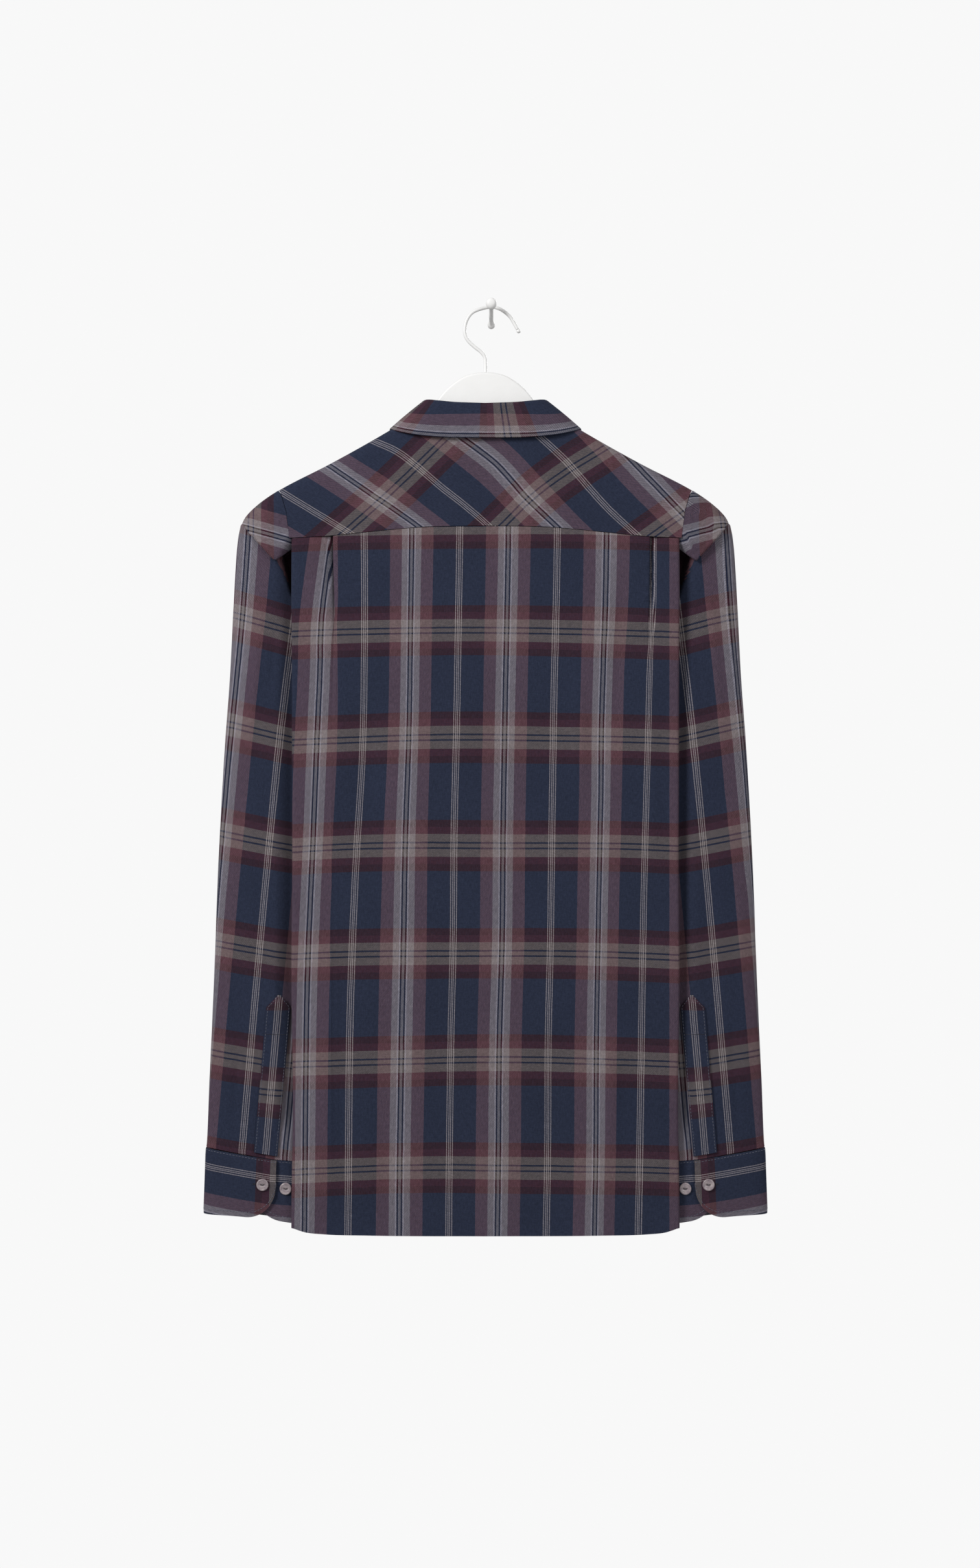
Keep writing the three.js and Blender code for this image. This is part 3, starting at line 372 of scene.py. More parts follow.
def shell(name, node, points, u, v, thick, material, closed=False):
    """Cloth of even thickness on a grid of middle points, in place of a node of the frame.

    u and v are each point's place in the woven cloth.
    """
    cloth = np.stack(np.broadcast_arrays(u, v), axis=-1)
    rows, columns = points.shape[:2]
    normals = normals_of(points, closed)
    SURFACES[name] = (points, normals, thick)
    both = np.concatenate([points + normals * thick / 2, points - normals * thick / 2]).reshape(-1, 3)
    far = rows * columns
    across = columns if closed else columns - 1
    i, j = [a.ravel() for a in np.meshgrid(np.arange(rows - 1), np.arange(across), indexing="ij")]
    quads = [((i, j, 0), (i, j + 1, 0), (i + 1, j + 1, 0), (i + 1, j, 0)),
             ((i, j, 1), (i + 1, j, 1), (i + 1, j + 1, 1), (i, j + 1, 1))]
    j = np.arange(across)
    for row, turn in ((0, 1), (rows - 1, -1)):
        i = np.full(across, row)
        ring = ((i, j, 0), (i, j, 1), (i, j + 1, 1), (i, j + 1, 0))
        quads.append(ring[::turn])
    if not closed:
        i = np.arange(rows - 1)
        for column, turn in ((0, 1), (columns - 1, -1)):
            j = np.full(rows - 1, column)
            ring = ((i, j, 0), (i + 1, j, 0), (i + 1, j, 1), (i, j, 1))
            quads.append(ring[::turn])
    corners, uv = [], []
    for quad in quads:
        corners.append(np.stack([side * far + a * columns + b % columns for a, b, side in quad], axis=1))
        uv.append(np.stack([cloth[a, b] for a, b, _ in quad], axis=1))
    obj = to_object(name, both, np.concatenate(corners), material, np.concatenate(uv).reshape(-1, 2))
    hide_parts(node)


def at_run(distance, run, line):
    """The place on a line, or the places, at a distance along it."""
    return np.stack([np.interp(distance, run, line[:, k]) for k in range(3)], axis=-1)


def inset(name, edge, distance):
    """The line on a cloth's surface at a distance from one of its edges, and the normals along it."""
    points, normals, thick = SURFACES[name]
    points = points + normals * (thick / 2 + THREAD_LIFT)
    if edge in ("left", "right"):
        points, normals = points.transpose(1, 0, 2), normals.transpose(1, 0, 2)
    if edge in ("bottom", "right"):
        points, normals = points[::-1], normals[::-1]
    run = run_along(points, 0)
    columns = range(points.shape[1])
    line = np.array([at_run(distance, run[:, j], points[:, j]) for j in columns])
    return line, unit(np.array([at_run(distance, run[:, j], normals[:, j]) for j in columns]))


THREAD_PITCH = 3.0
THREAD_LENGTH = 2.3
THREAD_HALF = 0.24
THREAD_LIFT = 0.1
THREAD_AIM = 0.6
SPINDLE = [(-0.5, 0, 0), (-0.3, 1, 0), (-0.3, 0, 1), (-0.3, -1, 0), (-0.3, 0, -1),
           (0.3, 1, 0), (0.3, 0, 1), (0.3, -1, 0), (0.3, 0, -1), (0.5, 0, 0)]
SPINDLE_FACES = ([(0, 2, 1), (0, 3, 2), (0, 4, 3), (0, 1, 4)]
                 + [(1, 2, 6, 5), (2, 3, 7, 6), (3, 4, 8, 7), (4, 1, 5, 8)]
                 + [(9, 5, 6), (9, 6, 7), (9, 7, 8), (9, 8, 5)])


def stitches(name, lines, material, pitch=THREAD_PITCH, length=THREAD_LENGTH, half=THREAD_HALF):
    """Rows of sewing stitches along lines on the cloth."""
    points, faces = [], []
    for line, out in lines:
        run = run_along(line, 0)
        count = int(run[-1] // pitch)
        if count < 1:
            continue
        at = (np.arange(count) + 0.5) * run[-1] / count
        middle = at_run(at, run, line)
        normal = unit(at_run(at, run, out))
        along = unit(at_run(at + THREAD_AIM, run, line) - at_run(at - THREAD_AIM, run, line))
        across = unit(np.cross(along, normal))
        for k in range(count):
            start = len(points)
            for a, b, c in SPINDLE:
                points.append(middle[k] + along[k] * a * length + across[k] * b * half + normal[k] * c * half)
            faces += [[start + v for v in face] for face in SPINDLE_FACES]
    to_object(name, points, faces, material, sharp=80)


def ring_solid(name, node, rings, material, sharp=40, turned=False):
    """A closed solid through rings of points, with flat ends."""
    count = len(rings[0])
    last = (len(rings) - 1) * count
    faces = [[row + k, row + (k + 1) % count, row + (k + 1) % count + count, row + k + count]
             for row in range(0, last, count) for k in range(count)]
    faces += [list(range(count))[::-1], list(range(last, last + count))]
    if turned:
        faces = [face[:1] + face[:0:-1] for face in faces]
    obj = to_object(name, np.concatenate(rings), faces, material, sharp=sharp)
    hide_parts(node)


# Materials
def linear(colour):
    """An sRGB colour, 0 to 255, as the linear colour that a shader takes."""
    parts = [c / 255 for c in colour]
    return tuple(c / 12.92 if c <= 0.04045 else ((c + 0.055) / 1.055) ** 2.4 for c in parts) + (1,)


class Graph:
    """Short ways to add nodes to a material."""

    def __init__(self, name):
        self.material = bpy.data.materials.new(name)
        self.material.use_nodes = True
        self.tree = self.material.node_tree
        self.shader = self.tree.nodes["Principled BSDF"]

    def node(self, kind, inputs=None, **settings):
        made = self.tree.nodes.new("ShaderNode" + kind)
        for key, value in settings.items():
            setattr(made, key, value)
        for key, value in (inputs or {}).items():
            self.put(value, made.inputs[key])
        return made

    def put(self, value, socket):
        if isinstance(value, bpy.types.NodeSocket):
            self.tree.links.new(value, socket)
        else:
            socket.default_value = value

    def math(self, operation, a, b=0.0, c=0.0):
        return self.node("Math", {0: a, 1: b, 2: c}, operation=operation).outputs[0]

    def ramp(self, factor, stops, interpolation="CONSTANT"):
        made = self.node("ValToRGB", {"Fac": factor})
        ramp = made.color_ramp
        ramp.interpolation = interpolation
        ramp.elements[0].position, ramp.elements[0].color = stops[0]
        ramp.elements[1].position, ramp.elements[1].color = stops[1]
        for position, colour in stops[2:]:
            ramp.elements.new(position).color = colour
        return made.outputs["Color"]

    def noise(self, vector, scale, detail=2.0, roughness=0.5):
        inputs = {"Vector": vector, "Scale": scale, "Detail": detail, "Roughness": roughness}
        return self.node("TexNoise", inputs).outputs["Fac"]

    def mix(self, blend, factor, a, b):
        made = self.node("Mix", {"Factor": factor}, data_type="RGBA", blend_type=blend)
        self.put(a, made.inputs[6])
        self.put(b, made.inputs[7])
        return made.outputs[2]

    def shaded(self, colour, value):
        grey = self.node("CombineColor", {0: value, 1: value, 2: value}).outputs[0]
        return self.mix("MULTIPLY", 1.0, colour, grey)

    def bump(self, height, distance, strength):
        made = self.node("Bump", {"Height": height, "Distance": distance, "Strength": strength})
        self.tree.links.new(made.outputs["Normal"], self.shader.inputs["Normal"])


NAVY = (0.024, 0.030, 0.054, 1)
MAUVE = (0.129, 0.078, 0.100, 1)
GREY_BLUE = (0.262, 0.232, 0.258, 1)
BETWEEN = (0.200, 0.190, 0.215, 1)
DARK = (0.010, 0.011, 0.026, 1)
PALE = (0.390, 0.370, 0.430, 1)
GAP = (0.016, 0.018, 0.034, 1)
WHITE_YARN = (0.330, 0.305, 0.330, 1)
WEFT_GREY = (0.159, 0.128, 0.113, 1)
WEFT_PLUM = (0.068, 0.016, 0.018, 1)
WEFT_BROWN = (0.043, 0.009, 0.005, 1)

# The check's stripes, as places from the middle of one, in mm
WARP_STRIPES = [
    (0, BETWEEN), (1.15, DARK), (2.35, GREY_BLUE), (2.7, PALE), (3.8, GREY_BLUE), (9.2, MAUVE), (20.4, NAVY),
    (41.3, GAP), (41.75, WHITE_YARN), (42.7, GAP), (43.6, WHITE_YARN), (44.55, GAP),
]
WEFT_STRIPES = [
    (0, WEFT_GREY), (1.6, GAP), (3.3, WEFT_GREY), (10.4, WEFT_PLUM), (17, WEFT_BROWN), (23.4, NAVY),
]
TWILL_PITCH = 1.5
TWILL_COVER = 0.3
MM_IN_MAP = 1000
YARN_STRETCH = 0.12
# Scales of the noise in the cloth, from its finest to its widest
NAP_SCALE = 1900
YARN_SCALE = 1500
HEATHER_SCALE = 560
SLACK_SCALE = 260
WOBBLE_SCALE = 70
WORN_SCALE = 22
WOBBLE = 0.0005


def flannel(name, level=1.0):
    """Brushed twill woven in the check. It reads the places of the threads from the cloth map."""
    g = Graph(name)
    uv = g.node("UVMap", uv_map="Cloth").outputs["UV"]
    parts = g.node("SeparateXYZ", {0: uv})
    wobble = g.math("MULTIPLY", g.math("SUBTRACT", g.noise(uv, WOBBLE_SCALE, 3), 0.5), WOBBLE)
    u, v = [g.math("ADD", parts.outputs[k], wobble) for k in (0, 1)]

    def drawn(u_by, v_by, seed):
        """The cloth map drawn out one way, so that noise in it runs along the yarns."""
        scaled = {0: g.math("MULTIPLY", u, u_by), 1: g.math("MULTIPLY", v, v_by), 2: seed}
        return g.node("CombineXYZ", scaled).outputs[0]

    def yarns(at, repeat, stripes, along):
        """The yarns of one way: their stripes, and each yarn a little lighter or darker."""
        half = repeat / 2 / MM_IN_MAP
        share = g.math("MULTIPLY", g.math("PINGPONG", at, half), 1 / half)
        colour = g.ramp(share, [(2 * start / repeat, colour) for start, colour in stripes])
        return g.shaded(colour, g.math("MULTIPLY_ADD", g.noise(along, YARN_SCALE, 2, 0.7), 1.3, 0.35))

    warp = yarns(u, WARP_REPEAT, WARP_STRIPES, drawn(1.0, YARN_STRETCH, 0.0))
    weft = yarns(v, WEFT_REPEAT, WEFT_STRIPES, drawn(YARN_STRETCH, 1.0, 0.3))
    slack = g.math("MULTIPLY", g.noise(uv, SLACK_SCALE, 2), 2.6)
    turn = g.math("MULTIPLY_ADD", g.math("SUBTRACT", v, u), 2 * math.pi * MM_IN_MAP / TWILL_PITCH, slack)
    wave = g.math("SINE", turn)
    colour = g.mix("MIX", g.math("MULTIPLY_ADD", wave, TWILL_COVER, 0.5), weft, warp)
    nap = g.noise(uv, NAP_SCALE, 3, 0.65)
    worn = g.math("MULTIPLY_ADD", g.noise(uv, WORN_SCALE, 3), 0.22, 0.89)
    heather = g.math("MULTIPLY_ADD", g.noise(drawn(1.0, 0.5, 0.7), HEATHER_SCALE, 2, 0.8), 0.7, 0.65)
    shade = g.math("MULTIPLY", g.math("MULTIPLY_ADD", nap, 0.7, 0.65), worn)
    shade = g.math("MULTIPLY", g.math("MULTIPLY", shade, heather), level)
    g.put(g.shaded(colour, shade), g.shader.inputs["Base Color"])
    g.bump(g.math("ADD", g.math("MULTIPLY", wave, 0.5), g.math("MULTIPLY", nap, 1.2)), 0.00016, 0.5)
    looks = {"Roughness": 0.92, "Specular IOR Level": 0, "Sheen Weight": 0.03, "Sheen Roughness": 0.6}
    for key, value in looks.items():
        g.shader.inputs[key].default_value = value
    return g.material


def tones(*stops):
    return [(at, linear(colour)) for at, colour in stops]


def mottled(name, noise, stops, bump, roughness, coat=0.0, bump_noise=None):
    """A material whose colour drifts by noise in the object's own space.

    noise holds its scale, detail and roughness, and bump its distance and strength.
    """
    g = Graph(name)
    where = g.node("TexCoord").outputs["Object"]
    drift = g.noise(where, *noise)
    g.put(g.ramp(drift, stops, "LINEAR"), g.shader.inputs["Base Color"])
    g.bump(g.noise(where, *bump_noise) if bump_noise else drift, *bump)
    g.shader.inputs["Roughness"].default_value = roughness
    g.shader.inputs["Coat Weight"].default_value = coat
    return g.material


def white_paint(name, colour, roughness):
    darker = tuple(c * 0.965 for c in colour)
    stops = [(0.3, darker + (1,)), (0.7, colour + (1,))]
    return mottled(name, (45, 4, 0.6), stops, (0.0002, 0.06), roughness, bump_noise=(420, 3))


SEAM_TONES = tones((0.3, (70, 73, 88)), (0.7, (112, 114, 128)))
BUTTON_TONES = tones((0.3, (20, 20, 28)), (0.7, (46, 45, 56)))
PEARL_TONES = tones((0.25, (118, 104, 112)), (0.5, (150, 138, 142)), (0.78, (188, 176, 174)))

FLANNEL = flannel("brushed_flannel")
# A darker copy of the flannel: painted shade for the band under the turned-down collar
SHADED = flannel("flannel_painted_shade", 0.92)
THREAD = mottled("seam_thread", (900, 2), SEAM_TONES, (0.0001, 0.5), 0.6)
BUTTON_THREAD = mottled("button_thread", (900, 2), BUTTON_TONES, (0.0001, 0.5), 0.6)
PEARL = mottled("pearl_buttons", (260, 4, 0.6), PEARL_TONES, (0.0002, 0.12), 0.28, coat=0.4)
BOARD_WHITE = white_paint("white_lacquer", (0.90, 0.895, 0.885), 0.42)
WIRE_WHITE = white_paint("white_wire", (0.88, 0.875, 0.865), 0.3)


# Body
def above_underarm(z):
    return smoothstep(z, *UNDERARM_Z)


def side_reach(z, half):
    above = np.minimum(half - FOLD_RADIUS - 3, read(ARMHOLE, "z", "x", z) - ARMHOLE_LAP)
    return lerp(SIDE_SEAM_X, above, above_underarm(z))


def side_fold(z, half):
    """Half a section of the body at many heights, from the edge fold in to the side seam, as x and depth."""
    inner = half - FOLD_RADIUS
    depth = half_depth(half, z) - FOLD_RADIUS
    x, deep = [], []
    for angle in np.linspace(0, math.pi, 11):
        x.append(inner + FOLD_RADIUS * np.sin(angle) + 0 * z)
        deep.append(depth + FOLD_RADIUS * np.cos(angle))
    reach = side_reach(z, half)
    end = lerp(SIDE_SEAM_DEPTH, ARMHOLE_LAP_DEPTH, above_underarm(z))
    for step in np.linspace(0.06, 1, 20):
        x.append(lerp(inner, reach, step))
        deep.append(lerp(depth - FOLD_RADIUS, end, step**4))
    return np.stack(x, axis=1), np.stack(deep, axis=1)


def body_z(x, row_z, top_offset, top_end):
    """Heights of a row of the body. Above top_end it follows the seam, and near the foot the hem's rise."""
    top = top_offset * np.clip((row_z - top_end) / (YOKE_SEAM_EDGE_Z - top_end), 0, 1)
    return row_z + top + read(HEM, "x", "rise", np.abs(x)) * smoothstep(-row_z, -HEM_RISE_START_Z, -HEM_Z)


def hem_turn(z):
    return HEM_TURN * smoothstep(-z, -HEM_TURN_Z[0], -HEM_TURN_Z[1])


def beside_pleat(away):
    return 2 * PLEAT_LAYER * np.exp(-((away / PLEAT_FADE) ** PLEAT_FALLOFF))


def pleat_section(pleat, z):
    """The points across one pleat at many heights, in the order of the cloth, as x and drop."""
    foot, underlay, away = PLEATS["foot"][pleat], PLEATS["underlay"][pleat], PLEATS["away"][pleat]
    radius = PLEAT_LAYER / 2
    low, high = PLEAT_REACH
    bend = np.linspace(0, math.pi, 6)
    stations = [(low, 0)]
    stations += [(radius * math.sin(a), radius * (1 - math.cos(a))) for a in bend]
    stations += [(-underlay * t, PLEAT_LAYER) for t in (0.33, 0.66)]
    stations += [(-underlay - radius * math.sin(a), PLEAT_LAYER + radius * (1 - math.cos(a))) for a in bend]
    stations += [(t, beside_pleat(max(t, 0)) + PLEAT_DIP * math.exp(-((t / PLEAT_DIP_WIDTH) ** 2)))
                 for t in (-underlay * 0.4, 0.6, 2, 4, high)]
    is_open = read(PLEAT_SHUT, "below", ("left", "right")[pleat], YOKE_SEAM_EDGE_Z - z)[:, None]
    shut = np.linspace(low, high, len(stations))[None, :]
    opened, layer = np.array(stations).T[:, None, :]
    wave = 1 + 0.05 * np.sin(z / 21)[:, None]
    drift = PLEAT_DRIFT * smoothstep(-z, -YOKE_SEAM_EDGE_Z, -foot)[:, None]
    x = PLEATS["x"][pleat] + away * (lerp(shut, opened, is_open) - drift * (away < 0))
    flat = 0.7 * np.exp(-((shut / 2.5) ** 2)) * smoothstep(z, foot - 60, foot + 20)[:, None]
    return x, lerp(flat, layer * wave, is_open)


def back_columns(start, end, count, z, pleat=None):
    """Even columns between two lines down the back, sunk where they near a pleat."""
    x = lerp(start, end, np.linspace(0, 1, count + 2)[None, 1:-1])
    if pleat is None:
        return x, np.zeros_like(x)
    is_open = smoothstep(z, PLEATS["foot"][pleat], YOKE_SEAM_EDGE_Z)[:, None]
    return x, beside_pleat(np.abs(x - PLEATS["x"][pleat])) * is_open


def anchor_stripes(u, x, z, count):
    """Moves the threads of each row of the back, so that a few stripes pass where the tables say."""
    white_u = 1.5 * WARP_REPEAT
    mauve_u = white_u + MAUVE_FROM_WHITE
    for i, height in enumerate(z):
        seen = (np.maximum.accumulate(x[i]) <= x[i]) & (x[i] > RIGHT_SEEN_X)
        marks = [RIGHT_START_X, read(RIGHT_WHITE, "z", "x", height), RIGHT_MAUVE_X]
        start, white, mauve = np.interp(marks, x[i][seen], u[i][seen])
        moved = np.interp(u[i], [start, white, mauve], [start, white_u, mauve_u])
        u[i] = np.where(u[i] < start, u[i], np.where(u[i] > mauve, u[i] - mauve + mauve_u, moved))
        seen = (x[i] > LEFT_SEEN_X[0]) & (x[i] < LEFT_SEEN_X[1]) & (np.arange(x.shape[1]) > count)
        marks = [read(LEFT_WHITE, "z", "x", height), LEFT_START_X]
        white, start = np.interp(marks, x[i][seen], u[i][seen])
        u[i] = u[i] + (-white_u - white) * np.clip((start - u[i]) / (start - white), 0, 1)
    return u


BACK_COLUMNS = (8, 92, 5)


def build_back():
    z = np.linspace(YOKE_SEAM_EDGE_Z, HEM_Z, 150)
    left, left_drop = pleat_section(0, z)
    right, right_drop = pleat_section(1, z)
    left, left_drop = left[:, ::-1], left_drop[:, ::-1]
    edge = BACK_HALF_WIDTH - FOLD_RADIUS
    edge_line = np.full((len(z), 1), edge)
    pieces = [
        back_columns(-edge_line, left[:, :1], BACK_COLUMNS[0], z, 0), (left, left_drop),
        back_columns(left[:, -1:], right[:, :1], BACK_COLUMNS[1], z), (right, right_drop),
        back_columns(right[:, -1:], edge_line, BACK_COLUMNS[2], z, 1),
    ]
    x = np.concatenate([p[0] for p in pieces], axis=1)
    drop = np.concatenate([p[1] for p in pieces], axis=1)
    rows = z[:, None]
    middle = smoothstep(edge - np.abs(x), 0, 14)
    bump = 1.6 * fold_height(BACK_FOLDS, x, rows)
    bump = bump + 0.55 * ripple(x, rows, 3, 190) + 0.22 * ripple(x, rows, 8, 60)
    bump = bump * middle * smoothstep(-rows, -YOKE_SEAM_EDGE_Z - 4, -YOKE_SEAM_EDGE_Z + 26)
    depth = half_depth(x, rows) - drop + bump + hem_turn(rows)
    side_x, side_deep = side_fold(z, BACK_HALF_WIDTH)
    side_x = side_x + (0.9 * ripple(rows, 0, 12, 210)) * (side_x > edge - 1)
    x = np.concatenate([-side_x[:, ::-1], x, side_x], axis=1)
    depth = np.concatenate([side_deep[:, ::-1], depth, side_deep], axis=1)
    seam = read(YOKE_SEAM, "x", "rise", np.abs(x)) - SEAM_GAP
    points = place(x, body_z(x, rows, seam, BACK_TOP_END_Z), depth, 1)
    run = run_along(np.stack([x, depth], axis=-1), 1)
    # The pleats' own columns share the cloth that the pleats take up at each height
    step = np.diff(run, axis=1)
    count = side_x.shape[1]
    first = count + BACK_COLUMNS[0]
    for key, section in (("left", left), ("right", right)):
        last = first + section.shape[1]
        takes = read(PLEAT_TAKES, "below", key, YOKE_SEAM_EDGE_Z - z)
        across = np.abs(section[:, -1] - section[:, 0]) + takes
        step[:, first:last - 1] = across[:, None] / (section.shape[1] - 1)
        first = last + BACK_COLUMNS[1]
    run = np.concatenate([np.zeros((len(z), 1)), np.cumsum(step, axis=1)], axis=1)
    centre = np.array([np.interp(0, x[i, 30:-30], run[i, 30:-30]) for i in range(len(z))])[:, None]
    u = run - centre - BACK_WARP_X - read(LEAN, "z", "x", rows) + 0.9 * ripple(points[..., 0], rows, 21, 260)
    u = anchor_stripes(u, x, z, count)
    sag = WEFT_SAG * np.abs(x / BACK_HALF_WIDTH) ** 3
    v = points[..., 2] - BACK_WEFT_Z + sag + 1.3 * ripple(points[..., 0], rows, 5, 230)
    shell("shirt_back", "back_panel", points, u, v, CLOTH, FLANNEL)


# Yoke
YOKE_SPOKES = table("at neckX neckDrop outX outDrop", [
    (0, 0, 23.4, 0, 0), (1, 12, 22.6, 32, 0), (2, 25, 20.5, 66, 0), (3, 37, 17, 100, 0), (4, 46, 13, 132, 0),
    (5, 53, 9, 160, 0), (6, 58, 6, 181.6, 0), (7, 62, 3.6, 184.6, 24), (8, 65, 1.8, 188.6, 8),
    (9, 66.5, 0.8, 191, 2), (10, 67.5, 0, 192, 0), (11, 68.4, -1, 191, -2), (12, 69, -4, 188.6, -8),
    (13, 70.5, -15, 186, -20),
    (14, YOKE_FRONT_NECK[0], -YOKE_FRONT_NECK[1], YOKE_FRONT_ARM[0], -YOKE_FRONT_ARM[1]),
])
YOKE_CORNER = 6
# Places on the yoke where a stripe's middle passes, with the thread's place there
YOKE_WARP = table("x z thread", [
    (-144.6, -137.4, 0), (-102, -166.8, 0), (-59.4, -196.2, 0), (-187.2, -163.2, -45), (-155.4, -182.4, -45),
    (-123, -202.2, -45), (-105.6, -114, 45), (-84, -123, 45), (-40.2, -158.4, 45), (3.6, -194.4, 45),
    (-21.6, -112.2, 90), (9.6, -135.6, 90), (36.4, -166.2, 90), (65.4, -193.8, 90), (50.4, -111, 135),
    (75, -133.8, 135), (114, -178.2, 135), (136.2, -198.6, 135), (132, -129, 180), (158.4, -156.6, 180),
    (185.4, -184.8, 180),
])
YOKE_WEFT = table("x z thread", [
    (-90.6, -164.4, 0), (-63.6, -138.6, 0), (-36.6, -112.2, 0), (18, -192, 100), (39.6, -170.4, 100),
    (78, -141.6, 100), (108.6, -123, 100), (159.6, -199.8, 200), (183, -183.6, 200), (200.4, -171.6, 200),
])
FIT_SLACK = 0.01


def fitted(marks, x, z):
    """The thread that passes a place, from a smooth surface through the marks."""
    def bend(a, b):
        apart = np.hypot(a[..., None] - marks["x"], b[..., None] - marks["z"]) / 100
        return apart**2 * np.log(np.maximum(apart, 1e-6))

    def plain(a, b):
        return np.stack([np.ones_like(a), a / 100, b / 100], axis=-1)

    count = len(marks["x"])
    full = np.zeros((count + 3, count + 3))
    full[:count, :count] = bend(marks["x"], marks["z"]) + FIT_SLACK * np.eye(count)
    full[:count, count:] = plain(marks["x"], marks["z"])
    full[count:, :count] = full[:count, count:].T
    weights = np.linalg.solve(full, np.concatenate([marks["thread"], np.zeros(3)]))
    return bend(x, z) @ weights[:count] + plain(x, z) @ weights[count:]


def build_yoke():
    at = np.concatenate([np.linspace(0, YOKE_CORNER, 49), np.linspace(6.2, 14, 40)])
    at = np.concatenate([-at[:0:-1], at])
    sign, k = np.sign(at), np.abs(at)
    neck_x, neck_drop, out_x, out_drop = [
        np.interp(k, YOKE_SPOKES["at"], YOKE_SPOKES[key]) for key in ("neckX", "neckDrop", "outX", "outDrop")]

    def seam_drop(x):
        return shoulder_z(x) - (YOKE_SEAM_EDGE_Z + read(YOKE_SEAM, "x", "rise", x) + SEAM_GAP / 2)

    corner, after = seam_drop(YOKE_SPOKES["outX"][YOKE_CORNER]), YOKE_SPOKES["outDrop"][YOKE_CORNER + 1]
    past_corner = lerp(corner, after, k - YOKE_CORNER)
    out_drop = np.where(k < YOKE_CORNER + 1, past_corner, out_drop)
    out_drop = np.where(k <= YOKE_CORNER, seam_drop(out_x), out_drop)
    t = np.linspace(0, 1, 40)[:, None]
    x = lerp(neck_x, out_x, t)
    drop = lerp(neck_drop, out_drop, t)
    z = shoulder_z(x) - np.abs(drop)
    # The cloth is soft away from the shoulder's ridge, and a layer thicker at the seam with the back
    soft = 0.25 * ripple(sign * x, z, 31, 80) * smoothstep(np.abs(drop), 4, 20) * smoothstep(1 - t, 0, 0.2)
    ridge = 0.5 * ((k <= YOKE_CORNER) * smoothstep(t, 0.93, 1)) + soft
    points = place(sign * x, z, half_depth(x, z) + ridge, np.where(drop < 0, -1, 1))
    # The front of the yoke carries the cloth on over the shoulder
    flat_z = shoulder_z(x) - drop
    u, v = fitted(YOKE_WARP, sign * x, flat_z), fitted(YOKE_WEFT, sign * x, flat_z)
    shell("shirt_yoke", "yoke", points, u, v, CLOTH, FLANNEL)


# Fronts
def yoke_front_drop(x):
    (neck_x, neck), (arm_x, arm) = YOKE_FRONT_NECK, YOKE_FRONT_ARM
    return lerp(neck, arm, (x - neck_x) / (arm_x - neck_x))


def front_top_z(x):
    at_neck = read(FRONT_NECK, "x", "z", np.maximum(x, 0)) - SEAM_GAP
    at_yoke = shoulder_z(x) - yoke_front_drop(x) - SEAM_GAP - 0.2
    return np.where(x < YOKE_FRONT_NECK[0], at_neck, at_yoke)


def build_front(name, sign):
    z = np.concatenate([np.linspace(YOKE_SEAM_EDGE_Z, -240, 20), np.linspace(-240, HEM_Z, 120)[1:]])
    half = np.interp(-z, -FRONT_EDGE["z"], FRONT_EDGE["half"])
    side_x, side_deep = side_fold(z, half)
    t = np.linspace(0, 1, 62)[None, :-1]
    x = lerp(-FRONT_OVERLAP, (half - FOLD_RADIUS)[:, None], t)
    rows = z[:, None]
    under = 0 if sign < 0 else UNDERLAP_DROP * (1 - smoothstep(x, *UNDERLAP_X))
    bump = fold_height(FRONT_FOLDS, sign * x, rows)
    bump = bump + 0.5 * ripple(sign * x, rows, 40, 180) + 0.2 * ripple(x, rows, 41, 60)
    bump = bump * smoothstep(x, 18, 40) * smoothstep(half[:, None] - x, 2, 16)
    bump = bump * smoothstep(-rows, -YOKE_SEAM_EDGE_Z, -YOKE_SEAM_EDGE_Z + 30)
    depth = half_depth(x, rows) - under + bump + hem_turn(rows)
    x = np.concatenate([x, side_x], axis=1)
    depth = np.concatenate([depth, side_deep], axis=1)
    top = front_top_z(x) - YOKE_SEAM_EDGE_Z
    points = place(sign * x, body_z(np.maximum(0, x), rows, top, FRONT_TOP_END_Z), depth, -1)
    if sign < 0:
        points, x, depth = points[:, ::-1], x[:, ::-1], depth[:, ::-1]
    run = run_along(np.stack([x, depth], axis=-1), 1)
    zero = run[:, :1] if sign > 0 else run[:, -1:]
    u = sign * (np.abs(run - zero) - FRONT_OVERLAP) - FRONT_WARP_X
    v = points[..., 2] - BACK_WEFT_Z + 1.2 * ripple(points[..., 0], rows, 45, 230)
    shell("shirt_" + name, name, points, u, v, CLOTH, FLANNEL)


def build_front_placket():
    z = np.linspace(YOKE_SEAM_EDGE_Z, HEM_Z, 110)[:, None]
    x = np.linspace(-0.5, 0.5, 15)[None, :] * PLACKET_WIDTH
    top = front_top_z(np.full_like(z, 0.0)) - YOKE_SEAM_EDGE_Z
    tall = body_z(np.zeros_like(z), z, top, FRONT_TOP_END_Z)
    edge = 0.35 * smoothstep(np.abs(x), 9.5, 12)
    depth = half_depth(x, tall) + PLACKET_LIFT + edge
    points = place(x, tall + 0 * x, depth, -1)
    u, v = x + WHITE_GROUP, points[..., 2] - BACK_WEFT_Z + PLACKET_WEFT
    shell("front_placket_band", "front_placket", points, u, v, STRIP_CLOTH, FLANNEL)


